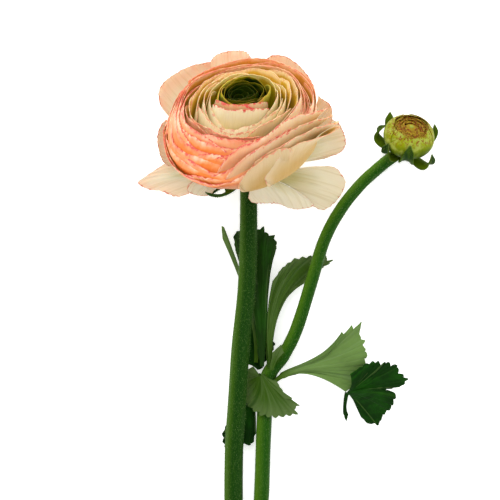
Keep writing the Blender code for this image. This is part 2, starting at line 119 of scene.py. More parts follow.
STEM_RADII = (3.3, 3.35, 3.35, 3.3, 3.25, 3.25, 3.2, 3.1, 3.05, 2.95, 2.8)
STEM_PATH = (
    (-1.5, -178.0, 3.4), (-3.0, -150.0, 4.2), (-4.4, -125.0, 5.4), (-4.6, -97.0, 7.6), (-3.3, -75.0, 9.6),
    (-1.9, -54.0, 10.6), (0.0, -36.0, 10.8), (0.7, -16.0, 10.3), (0.8, -4.5, 10.0), (0.65, 1.8, 11.2),
    (0.23, 5.08, 13.75),
)
SHOOT_PATH = (
    (-2.9, -150.0, 4.3), (-1.5, -143.0, 4.7), (1.4, -134.5, 4.7), (3.9, -125.0, 4.1), (5.3, -111.0, 3.4),
    (6.2, -86.0, 3.2), (7.5, -68.0, 3.4), (13.2, -59.6, 4.9), (17.8, -50.4, 6.6), (22.9, -34.2, 8.6),
    (27.9, -18.0, 9.2), (33.7, -7.2, 8.6), (40.9, 1.8, 5.9), (46.9, 7.4, 3.6), (52.2, 11.6, 2.7),
    (55.2, 13.4, 3.6), (57.1, 14.4, 6.2),
)
SHOOT_RADII = (2.0, 2.7, 2.75, 2.6, 2.7, 2.7, 2.75, 2.4, 2.3, 2.25, 2.2, 2.15, 2.15, 2.15, 2.15, 2.1, 2.1)

# Loose outer petals: the angle at which the claw leaves the bloom, two points that shape the blade's way, how
# far the second one spreads, and the rim.
GUARDS = {
    "guard_petal_back": (97, (1.4, 16.0, 3.0), (-4.0, 36.0, -1.4), 0.75, (
        (-13.6, 44.6, 2.2), (-12.0, 47.6, 3.2), (-9.2, 49.3, 4.2), (-4.9, 50.0, 4.6),
        (-0.4, 49.6, 4.2), (1.4, 47.8, 3.0), (2.4, 44.0, 1.9))),
    "guard_petal_back_left": (135, (-7.0, 16.0, 3.6), (-20.0, 30.0, -2.2), 0.75, (
        (-27.0, 25.0, 9.0), (-30.6, 30.0, 9.0), (-31.4, 35.0, 8.4), (-29.4, 38.8, 7.6),
        (-24.6, 42.0, 6.8), (-19.0, 44.6, 6.0), (-13.4, 46.2, 4.0))),
    "guard_petal_back_right": (58, (7.0, 17.0, 4.2), (15.0, 31.0, -1.6), 0.75, (
        (5.6, 44.6, 3.6), (8.4, 47.9, 5.6), (13.1, 47.9, 7.0), (17.6, 45.6, 8.4),
        (21.3, 42.3, 9.6), (24.0, 37.6, 10.8), (24.6, 32.6, 10.6))),
    "guard_petal_right_upper": (24, (12.0, 15.8, 14.2), (27.5, 22.0, 12.4), 0.45, (
        (26.0, 33.6, 22.0), (28.4, 31.4, 22.6), (29.8, 28.8, 23.0), (30.6, 25.6, 22.6),
        (29.6, 22.4, 21.0))),
    "guard_petal_right": (2, (12.0, 10.0, 13.4), (26.0, 15.0, 9.6), 0.65, (
        (30.7, 25.0, 17.0), (33.0, 23.8, 17.6), (34.2, 21.5, 18.0), (35.2, 18.6, 17.6),
        (35.2, 15.4, 16.4), (33.0, 12.8, 15.0), (27.8, 10.8, 13.0))),
    "guard_petal_right_low": (345, (11.0, 4.2, 13.6), (21.0, 4.6, 10.8), 0.4, (
        (24.8, 8.8, 8.0), (31.2, 8.0, 8.2), (34.0, 5.6, 8.0), (35.5, 2.5, 7.4), (33.9, -1.9, 7.8),
        (30.9, -5.3, 7.8), (27.3, -7.2, 8.0), (24.2, -6.2, 9.0), (20.5, -3.6, 10.2))),
    "guard_petal_front": (312, (6.0, 4.0, 20.0), (10.0, 0.6, 20.5), 0.6, (
        (21.6, -3.2, 15.2), (24.2, -5.2, 14.6), (22.4, -6.6, 14.8), (17.2, -6.8, 15.2),
        (11.8, -5.2, 15.8), (7.0, -5.2, 16.4), (2.4, -4.8, 17.0), (0.6, -3.0, 17.8))),
    "guard_petal_left": (165, (-11.0, 11.0, 12.0), (-27.0, 14.0, 7.0), 0.7, (
        (-27.6, 8.6, 12.5), (-30.4, 11.2, 14.4), (-31.6, 15.0, 15.8), (-31.6, 19.0, 16.8),
        (-30.4, 22.2, 17.2), (-28.4, 24.8, 17.4))),
    "guard_petal_left_low": (196, (-11.0, 5.2, 12.2), (-24.0, 6.4, 6.6), 0.35, (
        (-29.4, 9.4, 8.0), (-35.2, 5.6, 8.0), (-38.9, 2.4, 7.8), (-34.8, 0.0, 6.8),
        (-31.0, -0.4, 6.4), (-27.6, -1.8, 6.2), (-24.6, -2.5, 6.4), (-20.6, -1.4, 7.0))),
    "guard_petal_front_left": (228, (-7.6, 4.4, 14.2), (-13.8, 3.6, 12.6), 0.55, (
        (-20.9, 2.0, 11.6), (-21.0, -0.4, 11.2), (-18.6, -1.8, 11.0), (-15.4, -2.4, 11.2),
        (-12.2, -1.6, 11.8))),
}

# How far a guard petal's colour goes toward peach at its rim. The others go only a little.
GUARD_WARMTH = {
    "guard_petal_back": 0.95, "guard_petal_back_left": 0.95, "guard_petal_back_right": 0.95,
    "guard_petal_right_upper": 0.8, "guard_petal_right": 0.3, "guard_petal_left": 0.55,
    "guard_petal_left_low": 0.6,
}
GUARD_WARMTH_ELSEWHERE = 0.15

# Sepals of the bloom: claw angle, the two shaping points, the tip, and the way that the tip lies across.
SEPALS = {
    "sepal_left": (222, (-6.4, 1.8, 14.4), (-10.0, 0.6, 15.0), (-12.4, -1.6, 14.4), (0.3, 0.6, 0.7)),
    "sepal_front": (245, (-4.0, -1.6, 18.6), (-10.8, -4.2, 17.4), (-14.7, -0.9, 15.8), (0.0, 0.35, 0.9)),
    "sepal_right": (330, (7.5, 2.6, 14.6), (10.0, 0.4, 10.0), (13.0, -1.6, 9.6), (0.6, 0.6, 0.4)),
    "sepal_back_right": (45, (6.4, 6.0, 9.4), (7.0, 1.6, 5.0), (7.6, -1.4, 4.6), (0.9, 0.3, 0.0)),
    "sepal_back_left": (130, (-5.8, 6.0, 8.6), (-6.4, 1.8, 4.8), (-7.0, -1.4, 4.6), (-0.9, 0.3, 0.0)),
}

# Bud sepals: angle round the bud, then the second shaping point and the tip, each as (radius, height) on the
# bud, and half the width. All start at the same foot and first shaping point.
BUD_SEPAL_FOOT = ((2.75, -0.2), (6.0, -0.6))
BUD_SEPALS = {
    "bud_sepal_right": (24, (14.4, 1.6), (10.8, 8.6), 2.0),
    "bud_sepal_back_left": (112, (12.0, 0.6), (13.2, 7.0), 2.3),
    "bud_sepal_left": (155, (15.8, 1.0), (9.0, 8.6), 2.5),
    "bud_sepal_front_left": (208, (11.2, 0.6), (9.6, 7.6), 2.5),
    "bud_sepal_front": (258, (11.6, 2.8), (8.8, 10.6), 2.5),
    "bud_sepal_front_right": (308, (13.2, -2.2), (11.2, 6.4), 2.5),
}

# Leaves: where the stalk starts, two points that shape the veins' way, how far the second one spreads, and
# the rim from one side round to the other.
LEAVES = {
    "leaf_right": ((9.4, -69.4, 4.4), (17.0, -62.2, 8.0), (26.5, -64.0, 11.0), 0.12, (
        (31.6, -56.6, 12.0), (33.1, -54.4, 12.4), (34.4, -51.2, 12.8),
        (35.4, -52.6, 12.8), (37.8, -49.2, 13.2), (38.6, -50.4, 13.2), (41.1, -47.8, 13.6),
        (40.2, -52.6, 12.8), (42.0, -54.4, 12.8), (41.6, -56.6, 12.6), (42.8, -58.2, 12.4),
        (42.2, -60.6, 12.0), (42.0, -64.0, 10.8), (39.4, -69.0, 9.2), (35.6, -72.4, 8.2))),
    "leaf_right_front": ((36.9, -72.6, 9.2), (39.0, -71.8, 12.4), (43.0, -70.8, 15.4), 0.3, (
        (37.0, -65.8, 15.4), (42.4, -62.6, 16.0), (47.0, -61.5, 15.0), (48.2, -63.0, 14.8),
        (50.6, -61.7, 14.2), (51.4, -63.4, 13.8), (53.8, -63.1, 13.2), (54.0, -65.4, 13.0),
        (57.4, -68.0, 11.2), (55.2, -70.6, 10.8), (49.4, -71.5, 11.6), (53.2, -72.8, 10.4),
        (51.9, -77.6, 8.6), (49.4, -80.0, 7.6), (47.4, -84.1, 5.6), (45.6, -83.6, 5.9),
        (43.6, -83.9, 5.8), (41.0, -81.4, 6.6))),
    "leaf_right_curl": ((36.0, -72.8, 7.4), (35.6, -75.0, 7.0), (34.8, -79.0, 5.0), 0.5, (
        (36.6, -80.6, 3.6), (35.9, -83.2, 2.4), (35.0, -80.4, 3.6))),
    "leaf_middle": ((8.4, -63.6, 7.4), (7.2, -45.0, 5.4), (12.0, -33.0, 3.8), 0.35, (
        (12.4, -40.2, 4.4), (16.6, -35.2, 4.0), (21.2, -32.4, 3.7), (24.6, -29.6, 3.3), (25.6, -28.6, 3.3),
        (29.4, -26.6, 3.3), (30.8, -25.4, 3.4), (28.2, -25.6, 3.8), (28.8, -24.0, 4.2), (24.2, -24.0, 4.8),
        (18.0, -25.2, 5.0), (12.6, -28.6, 5.6), (9.2, -32.6, 5.8))),
    "leaf_upright": ((5.6, -63.4, 6.6), (5.8, -46.0, 5.8), (3.0, -30.0, 5.2), 0.5, (
        (10.4, -22.4, 5.6), (10.6, -19.0, 5.6), (9.9, -18.2, 5.6), (9.4, -16.2, 5.6),
        (7.5, -16.6, 5.6), (5.6, -13.6, 5.6), (2.0, -16.2, 5.4), (-1.2, -14.4, 5.2),
        (-3.9, -15.6, 5.0), (-4.0, -21.6, 4.8))),
    "leaf_slender": ((3.4, -62.0, 4.0), (4.4, -48.0, 3.8), (-1.4, -32.0, 3.4), 0.4, (
        (-6.4, -18.4, 3.4), (-8.2, -13.2, 3.6), (-9.0, -12.9, 3.6), (-8.6, -17.6, 3.4))),
    "leaf_tucked": ((4.6, -64.6, 2.0), (3.6, -60.0, 1.9), (2.6, -55.0, 1.8), 0.45, (
        (-1.0, -62.6, 1.8), (-3.0, -59.6, 1.8), (-2.8, -54.0, 1.8), (0.4, -48.4, 1.8),
        (3.4, -45.1, 1.8), (6.6, -49.4, 1.7), (9.9, -55.6, 1.6), (9.0, -58.4, 1.6),
        (8.6, -60.6, 1.6))),
    "bract": ((9.0, -64.4, 9.0), (9.2, -62.0, 9.6), (10.6, -59.6, 9.6), 0.4, (
        (9.2, -58.4, 9.4), (10.7, -57.0, 9.8), (12.4, -55.4, 10.4), (13.4, -58.4, 9.6))),
    "leaf_broad": ((5.4, -66.4, 7.2), (6.2, -69.0, 7.2), (9.4, -73.4, 7.2), 0.5, (
        (10.6, -68.2, 7.4), (13.4, -73.4, 7.4), (13.2, -74.7, 7.4), (16.0, -75.2, 7.2),
        (15.4, -76.6, 7.2), (18.6, -77.3, 7.0), (16.4, -78.6, 7.0), (17.8, -80.2, 6.8),
        (13.4, -80.9, 6.9), (9.6, -81.2, 7.0), (5.4, -80.4, 6.8), (2.0, -78.2, 6.2),
        (-0.6, -75.4, 5.2), (-2.4, -70.4, 4.9), (-1.6, -65.6, 5.2), (2.4, -63.4, 6.4))),
    "leaf_low": ((1.6, -67.4, 1.9), (1.2, -71.0, 1.7), (0.6, -79.0, 1.6), 0.45, (
        (2.9, -83.8, 1.6), (2.6, -87.6, 1.6), (1.4, -91.7, 1.6), (-1.3, -91.2, 1.6),
        (-4.4, -92.6, 1.6), (-7.6, -92.2, 1.6), (-8.2, -88.6, 1.7), (-6.4, -83.0, 1.8))),
}

# Leaves that turn their undersides up, and how far a leaf's colour goes to olive green.
LEAVES_TURNED = ("leaf_right", "leaf_slender", "leaf_broad", "leaf_middle", "bract")
LEAF_TONES = {"leaf_broad": 1.0, "leaf_middle": 0.9, "bract": 1.0, "leaf_upright": 0.15}

# Folded petals between the cup and the rings: angle, half angle, rim radius, rim height and warmth.
GAP_PETALS = (
    (318, 34, 17.6, 33.6, 0.08), (190, 46, 18.4, 31.6, 0.15), (95, 58, 16.6, 33.4, 0.45),
    (232, 36, 18.6, 31.0, 0.45), (20, 42, 16.8, 33.6, 0.2), (352, 38, 19.2, 33.4, 0.35),
    (268, 36, 19.4, 31.6, 0.8), (140, 44, 18.0, 33.0, 0.4), (205, 36, 19.6, 31.6, 0.7),
    (40, 40, 19.4, 33.2, 0.4),
)

# The cup's broad face and the two folded petals behind it: angle, half angle, rim radius, rim height, curl,
# warmth and tan_shade, a brownish cream that is partly painted shade.
FACE_PETALS = (
    (264, 62, 11.5, 33.6, -0.1, 0.02, 0.0), (246, 52, 10.6, 34.2, -0.6, 0.55, 0.85),
    (290, 44, 10.2, 33.8, -0.8, 0.5, 0.8),
)

# Petals on the right that have come away from the rings: belly radius, warmth, tan_shade (a brownish cream
# that is partly painted shade), and the rim as (degrees, radius, height).
LOOSE_PETALS = (
    (24.6, 0.8, 0.0, (
        (256, 25.8, 18.0), (262, 25.8, 26.0), (268, 25.4, 31.0), (276, 24.8, 33.6), (292, 24.0, 34.8),
        (312, 22.4, 35.2), (322, 23.0, 35.8), (332, 25.0, 35.8), (339, 28.0, 36.0), (346, 31.4, 36.2),
        (354, 32.0, 34.0))),
    (26.2, 0.6, 0.3, (
        (262, 27.2, 15.0), (268, 27.2, 22.0), (274, 26.8, 27.0), (282, 26.4, 30.4), (294, 25.8, 32.8),
        (312, 25.8, 33.8), (326, 27.2, 34.2), (336, 30.2, 34.4), (344, 33.8, 34.0), (352, 34.2, 31.8))),
    (28.0, 0.4, 0.5, (
        (274, 28.2, 14.0), (281, 28.0, 22.0), (288, 27.8, 27.6), (300, 28.2, 31.2), (318, 29.2, 32.6),
        (332, 31.2, 32.8), (338, 34.0, 33.0), (342, 37.0, 32.6), (350, 37.4, 30.4))),
    (28.8, 0.3, 0.7, (
        (290, 28.8, 14.0), (296, 28.6, 21.0), (302, 28.8, 26.0), (309, 29.4, 29.0), (318, 30.6, 30.2),
        (330, 33.4, 30.4), (339, 36.6, 30.2), (345, 38.0, 29.4), (351, 37.6, 27.6))),
    (28.6, 0.1, 0.8, (
        (270, 28.8, 9.0), (274, 28.8, 15.0), (278, 28.9, 20.0), (283, 29.0, 24.4), (289, 29.2, 27.8),
        (296, 29.4, 30.2), (303, 29.7, 31.6), (309, 30.2, 31.6), (314, 30.8, 30.0))),
)


# Settings that a user would change.


class BloomSettings(bpy.types.PropertyGroup):
    heart_petals: IntProperty(
        name="Heart petals", description="Folded green petals in the middle", default=20)
    cup_petals: IntProperty(name="Cup petals", description="Cream petals round the heart", default=13)
    ring_petals: IntProperty(name="Ring petals", description="Peach petals in the outer rings", default=26)
    thickness: FloatProperty(
        name="Thickness", description="Thickness of a petal", default=0.0002, unit="LENGTH", precision=5)
    cream: FloatVectorProperty(
        name="Cream", description="Colour of the pale petals", default=(0.86, 0.78, 0.53), subtype="COLOR")
    peach: FloatVectorProperty(
        name="Peach", description="Colour of the ring petals near their rims", default=(0.82, 0.32, 0.13),
        subtype="COLOR")
    # The orange below the rims is partly the petals' own colour, partly painted shade.
    orange_and_shade: FloatVectorProperty(
        name="Orange", description="Colour of the ring petals deep in the nest", default=(0.76, 0.19, 0.035),
        subtype="COLOR")
    edge: FloatVectorProperty(
        name="Edge", description="Colour of the petals' thin edges", default=(0.66, 0.10, 0.085),
        subtype="COLOR")
    green: FloatVectorProperty(
        name="Green", description="Colour of the heart", default=(0.014, 0.032, 0.001), subtype="COLOR")


class StemSettings(bpy.types.PropertyGroup):
    skin: FloatVectorProperty(
        name="Skin", description="Colour of the stems", default=(0.006, 0.042, 0.0005), subtype="COLOR")
    hairs: IntProperty(name="Hairs", description="Fine hairs on each stem", default=3600)
    hair_length: FloatProperty(
        name="Hair length", description="Length of a stem hair", default=0.0009, unit="LENGTH", precision=5)


class LeafSettings(bpy.types.PropertyGroup):
    upper: FloatVectorProperty(
        name="Upper side", description="Colour of a leaf's upper side", default=(0.003, 0.026, 0.0005),
        subtype="COLOR")
    under: FloatVectorProperty(
        name="Underside", description="Colour of a leaf's underside", default=(0.13, 0.225, 0.055),
        subtype="COLOR")
    thickness: FloatProperty(
        name="Thickness", description="Thickness of a leaf", default=0.00035, unit="LENGTH", precision=5)


class BudSettings(bpy.types.PropertyGroup):
    inner_petals: IntProperty(name="Inner petals", description="Small petals round the bud's eye", default=14)
    petal: FloatVectorProperty(
        name="Petal", description="Colour of the bud's petals", default=(0.26, 0.30, 0.003), subtype="COLOR")
    speck: FloatVectorProperty(
        name="Speck", description="Colour of the bud's specks", default=(0.20, 0.02, 0.01), subtype="COLOR")
    sepal: FloatVectorProperty(
        name="Sepal", description="Colour of the sepals", default=(0.008, 0.038, 0.001), subtype="COLOR")


class StageSettings(bpy.types.PropertyGroup):
    floor: FloatVectorProperty(
        name="Floor", description="Colour of the floor", default=(0.92, 0.92, 0.92), subtype="COLOR")
    sky: FloatProperty(name="Sky", description="Strength of the even light from all round", default=0.92)
    key: FloatProperty(name="Key light", description="Power of the main lamp", default=5.5, unit="POWER")
    fill: FloatProperty(name="Fill light", description="Power of the second lamp", default=1.5, unit="POWER")
    view_width: FloatProperty(
        name="View width", description="Width of the picture at the flower", default=0.18, unit="LENGTH")


# Shapes.


def unit(vector):
    return np.asarray(vector, float) / np.linalg.norm(vector)


def unit_rows(vectors):
    return vectors / np.maximum(np.linalg.norm(vectors, axis=-1, keepdims=True), 1e-9)


def frame_on(axis):
    """Unit vectors across an axis and along it: right, back and up."""
    up = unit(axis)
    back = unit(np.array([0.0, 1.0, 0.0]) - up[1] * up)
    return np.cross(back, up), back, up


def lerp(ends, share):
    return ends[0] + (ends[1] - ends[0]) * share


def smooth(value, low, high):
    """0 at low, 1 at high, and an even curve between."""
    share = np.clip((value - low) / (high - low), 0.0, 1.0)
    return share * share * (3 - 2 * share)


def smooth_path(points, steps):
    """A Catmull-Rom curve through the points, with this many steps between each pair."""
    points = np.asarray(points, float)
    ends = np.vstack([2 * points[0] - points[1], points, 2 * points[-1] - points[-2]])
    path = []
    for i in range(len(points) - 1):
        a, b, c, d = ends[i : i + 4]
        for t in np.linspace(0, 1, steps, endpoint=False):
            bend = (2 * a - 5 * b + 4 * c - d) * t**2 + (3 * b - a - 3 * c + d) * t**3
            path.append(0.5 * (2 * b + (c - a) * t + bend))
    path.append(points[-1])
    return np.array(path)


def resample(points, count):
    """The same line with this many points, evenly spaced."""
    points = np.asarray(points, float)
    steps = np.linalg.norm(np.diff(points, axis=0), axis=1)
    along = np.concatenate([[0.0], np.cumsum(steps)])
    wanted = np.linspace(0, along[-1], count)
    return np.stack([np.interp(wanted, along, points[:, i]) for i in range(points.shape[1])], axis=1)


def random_wave(rng, slowest, fastest, count=5):
    """A smooth random function of one number, at most 1 high."""
    rates = rng.uniform(slowest, fastest, count)
    phases = rng.uniform(0, 2 * math.pi, count)
    sizes = rng.uniform(0.4, 1.0, count)
    sizes /= sizes.sum()
    return lambda x: (sizes * np.sin(np.multiply.outer(x, rates) + phases)).sum(axis=-1)


def turned_middle(profile, base, axis):
    """The middle of the box round a turned solid."""
    up = unit(axis)
    across = np.sqrt(1 - up**2)
    high = np.max([height * up + radius * across for radius, height in profile], axis=0)
    low = np.min([height * up - radius * across for radius, height in profile], axis=0)
    return base + (high + low) / 2


def heart_middle():
    low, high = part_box("heart")
    return (np.array(low) + np.array(high)) / 2 / MM


SHIFT = heart_middle() - turned_middle(HEART_PROFILE, BLOOM_BASE, BLOOM_AXIS)


def place(points):
    """Millimetres from the top of the stem to metres in the frame."""
    return (np.asarray(points, float) + SHIFT) * MM


def deselect():
    for thing in bpy.context.view_layer.objects:
        thing.select_set(False)


def spread_of(points, axis):
    """How far each point lies from the first one along a grid's axis."""
    steps = np.linalg.norm(np.diff(points, axis=axis), axis=2)
    start = np.zeros_like(steps.take([0], axis=axis))
    return np.concatenate([start, np.cumsum(steps, axis=axis)], axis=axis)


def blade_places(points, seed):
    """For each point of a blade: (across from its middle line, below its rim, a number of its own), and how
    far it is from the nearest edge, in millimetres."""
    along = spread_of(points, 0)
    depth = along[-1] - along
    across = spread_of(points, 1)
    middle = across[:, [across.shape[1] // 2]]
    side_gap = np.minimum(across, across[:, [-1]] - across)
    edge = np.minimum(depth, side_gap + 0.12 * depth)
    return np.stack([across - middle, depth, np.full_like(depth, seed)], axis=2), edge


def put_attribute(thing, name, values):
    """Give an object's points one number or three each."""
    values = np.asarray(values, np.float32)
    kind, field = ("FLOAT_VECTOR", "vector") if values.size > len(thing.data.vertices) else ("FLOAT", "value")
    thing.data.attributes.new(name, kind, "POINT").data.foreach_set(field, values.ravel())


def fill(thing, **attributes):
    """Give all points of an object the same value of each attribute."""
    for name, value in attributes.items():
        put_attribute(thing, name, np.broadcast_to(value, (len(thing.data.vertices), *np.shape(value))))


def grid(points, attributes):
    """A grid of faces through points indexed [along, across], with its attributes."""
    rows, columns = points.shape[:2]
    deselect()
    bpy.ops.mesh.primitive_grid_add(x_subdivisions=columns - 1, y_subdivisions=rows - 1, size=2)
    made = bpy.context.object
    made.data.vertices.foreach_set("co", place(points).astype(np.float32).ravel())
    for name, values in attributes.items():
        put_attribute(made, name, values)
    return made


def sheet(points, thick, attributes, wall=None):
    """A thin closed blade on a grid of points, with its attributes. wall gives each row's share of the
    thickness. The inside attribute is 1 on the side that the grid's normals point away from."""
    made = grid(points, attributes)
    solidify = made.modifiers.new("Thickness", "SOLIDIFY")
    solidify.thickness = thick * MM
    solidify.offset = 0.0
    rows, columns = points.shape[:2]
    if wall is not None:
        group = made.vertex_groups.new(name="wall")
        for row in range(rows):
            group.add(list(range(row * columns, (row + 1) * columns)), float(wall[row]), "REPLACE")
        solidify.vertex_group = group.name
        solidify.thickness_vertex_group = 0.0
    bpy.ops.object.modifier_apply(modifier=solidify.name)
    made.vertex_groups.clear()
    put_attribute(made, "inside", np.arange(len(made.data.vertices)) >= rows * columns)
    return made


def joined(name, parts, finish, nodes, smooth_angle=50):
    """One piece from several objects, with its finish and smooth shading, attached to the root body in place
    of the frame's parts, which are hidden.
    """
    deselect()
    for part in parts:
        part.select_set(True)
    bpy.context.view_layer.objects.active = parts[0]
    if len(parts) > 1:
        bpy.ops.object.join()
    piece = bpy.context.view_layer.objects.active
    piece.name = name
    piece.data.name = name
    bpy.ops.object.shade_smooth_by_angle(angle=math.radians(smooth_angle))
    piece.data.materials.clear()
    piece.data.materials.append(finish)
    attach(piece, "root")
    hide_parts(*nodes)
    return piece


def in_frame(base, axis, radius, angle, height):
    """Points at a radius, angle and height round an axis."""
    right, back, up = frame_on(axis)
    radius, angle, height = np.broadcast_arrays(radius, angle, height)
    return (
        base
        + (radius * np.cos(angle))[..., None] * right
        + (radius * np.sin(angle))[..., None] * back
        + height[..., None] * up
    )


def receptacle_radius(height):
    rising = sorted(RECEPTACLE)
    return float(np.interp(height, [spot[0] for spot in rising], [spot[1] for spot in rising]))


# Petals of the nest.


def toward(angle, degrees, width, full=0.0):
    """1 at an angle round the bloom and full degrees either way, falling to 0 at width degrees away."""
    off = np.abs((np.degrees(angle) - degrees + 180) % 360 - 180)
    return 1 - smooth(off, full, width)


def settle(radius, angle, height):
    """The nest's own unevenness, alike for petals that touch. Returns the point in the bloom."""
    radius = radius + 0.4 * toward(angle, 185, 80) * smooth(radius, 14.0, 27.0)
    ripple = 0.5 * np.sin(3 * angle + 0.22 * radius + 0.8) + 0.35 * np.sin(5 * angle - 0.3 * radius + 2.2)
    radius = radius + ripple * np.clip(height / 35, 0, 1) * np.clip(radius / 20, 0.2, 1)
    right, back, _ = frame_on(BLOOM_AXIS)
    aside = 3.7 * smooth(height, 17.0, 40.0) - 2.2 * (1 - smooth(radius, 1.0, 9.0))
    behind = 6.0 * (1 - smooth(radius, 0.0, 26.0)) * smooth(height, 12.0, 32.0)
    points = in_frame(BLOOM_BASE, BLOOM_AXIS, radius, angle, height)
    return points + aside[..., None] * right + behind[..., None] * back


class Petal:
    """One petal of the nest, as sizes in millimetres and shares of its colours. claw and belly are (radius,
    height), and rim holds (degrees, radius, height) from one side to the other. curl moves the rim outward,
    corner lowers its ends, blush is the strength of its coral edge and tan_shade that of a brownish cream
    that is partly painted shade."""

    def __init__(self, claw, belly, rim, curl=0.0, warmth=0.0, green=0.0, blush=0.5, corner=4.0, tan_shade=0.0):
        self.claw = claw
        self.belly = belly
        self.rim = np.asarray(rim, float)
        self.curl = curl
        self.warmth = warmth
        self.green = green
        self.blush = blush
        self.corner = corner
        self.tan_shade = tan_shade

    def sheet(self, index, thick, columns, rows):
        """A sheet that rises from the claw through the belly, its widest place, to the rim. The index gives
        its own waves."""
        rng = np.random.default_rng(1000 + index)
        rates = ((1.5, 5.0), (9.0, 24.0), (50.0, 90.0), (4.0, 11.0), (2.0, 4.0))
        slow, fast, teeth, ruffle, sway = (random_wave(rng, *rate) for rate in rates)
        (claw_radius, claw_height), (belly_radius, belly_height) = self.claw, self.belly
        side = np.linspace(-1, 1, columns)
        up = 1 - (1 - np.linspace(0, 1, rows)) ** 1.5
        turn, rim_radius, rim_height = np.stack(
            [np.interp(side, np.linspace(-1, 1, len(self.rim)), column) for column in self.rim.T])
        rim_angle = np.radians(turn)
        size = np.clip(rim_radius / 16, 0.5, 1.0)

        # How far along its full length each vein of the petal ends: half way is the belly.
        top = rim_height - self.corner * size * np.abs(side) ** 3.2
        top = top + size * (0.55 * slow(side) + 0.34 * fast(side) + 0.2 * teeth(side))
        above = 0.5 + 0.5 * (top - belly_height) / (rim_height - belly_height)
        share = np.clip((top - claw_height) / (belly_height - claw_height), 0.02, 1)
        below = np.arccos(1 - share ** (1 / BELLY_POWER)) / math.pi
        reach = np.where((top >= belly_height) & (rim_height > belly_height), above, below)
        along = up[:, None] * reach[None, :]

        turn = np.minimum(along, 0.5) * math.pi
        rise = np.maximum(along - 0.5, 0) / 0.5
        radius = claw_radius + (belly_radius - claw_radius) * np.sin(turn)
        radius = radius + (rim_radius - belly_radius) * rise**1.6
        height = claw_height + (belly_height - claw_height) * (1 - np.cos(turn)) ** BELLY_POWER
        height = height + (rim_height - belly_height) * rise
        middle = rim_angle[columns // 2]
        claw_half = side * 0.9 / np.maximum(radius, 2.0)
        spread = np.sin(np.minimum(1, along / 0.6) * math.pi / 2) ** 1.6
        angle = middle + claw_half * (1 - spread) + (rim_angle - middle) * spread

        # The rim's curl and ruffles fade below it.
        below_rim = (reach[None, :] - along) * 2 * np.maximum(rim_height - belly_height, 6.0)
        radius = radius + (self.curl + 0.25 * sway(side)) * np.exp(-below_rim / 2.0)
        radius = radius + 0.28 * size * ruffle(side) * np.exp(-below_rim / 3.5)
        points = settle(radius, angle, height)

        spot, edge = blade_places(points, 7.3 * index)
        lit = np.ones_like(edge)
        blush = self.blush * (1 - 0.6 * toward(angle, 60, 150))
        tint = np.stack([self.warmth_at(angle), self.green * lit, blush], axis=2)
        attributes = {"spot": spot, "edge": edge, "tint": tint, "tan_shade": self.tan_shade * lit}
        return sheet(points, thick, attributes)

    def warmth_at(self, angle):
        """Warmest in front on the left, palest in front on the right."""
        gain = 0.40 * toward(angle, 232, 100) - 0.42 * toward(angle, 330, 70)
        return np.clip(self.warmth * (0.64 + gain), 0, 1)


def nest_claw(height):
    return receptacle_radius(height) + 0.35, height


def level_rim(degrees, half, radius, height, fall, dip=0.0):
    """A rim of one radius, which lies lower at the back by fall and in front on the left by dip."""
    turn = degrees + np.linspace(-1, 1, 25) * half
    angle = np.radians(turn)
    top = height - fall * np.sin(angle) - dip * toward(angle, 223, 76.0, full=36.0)
    return np.stack([turn, np.full_like(turn, radius), top], axis=1)


def heart_petals(count):
    """Folded green petals that turn in over a pit in the middle."""
    made = []
    rng = np.random.default_rng(3)
    for i in range(count):
        share = i / (count - 1)
        rim = level_rim(
            40 + i * GOLDEN_ANGLE + rng.uniform(-25, 25), lerp((110, 56), share), lerp((0.6, 9.8), share),
            lerp((27.4, 34.4), share**0.5) + rng.uniform(-0.5, 0.5), fall=lerp((0.2, 1.2), share))
        made.append(Petal(
            nest_claw(lerp((8.8, 8.3), share)), (lerp((2.2, 10.2), share), 24.0), rim,
            curl=lerp((0.1, -0.5), share), green=lerp((1.0, 0.80), share**2), blush=0.9 * share**4,
            corner=5.0))
    return made


def cup_petals(count):
    """Cream petals that stand in a cup round the heart. In front the outer ones stay low, below one broad
    face. At the back every third one stands taller, so that they show as bands."""
    made = [
        Petal(nest_claw(8.0), (radius + 0.1, 23.0), level_rim(turn, half, radius, height, fall=1.6),
              curl=curl, warmth=warmth, green=0.12, blush=1.3, corner=3.0, tan_shade=tan_shade)
        for turn, half, radius, height, curl, warmth, tan_shade in FACE_PETALS
    ]
    for i in range(count):
        share = i / (count - 1)
        rim = level_rim(
            75 + i * GOLDEN_ANGLE, lerp((58, 52), share), lerp((11.8, 16.0), share),
            lerp((34.3, 34.0), share), fall=1.7)
        angle = np.radians(rim[:, 0])
        rim[:, 2] -= toward(angle, 258, 100) * lerp((9.0, 6.0), share)
        if i % 3:
            rim[:, 2] -= 2.6 * toward(angle, 70, 110)
        made.append(Petal(
            nest_claw(lerp((8.2, 7.4), share)), (lerp((12.2, 16.8), share), 22.0), rim,
            curl=lerp((-0.4, 0.2), share), warmth=0.06, green=lerp((0.66, 0.3), share), blush=0.8,
            corner=4.0))
    return made


def gap_petals():
    """Petals that stand alone between the cup and the rings."""
    return [
        Petal(nest_claw(6.8), (radius - 0.6, 21.0), level_rim(turn, half, radius, height, fall=1.4),
              curl=0.5, warmth=warmth, green=0.2, blush=0.8, corner=4.0)
        for turn, half, radius, height, warmth in GAP_PETALS
    ]


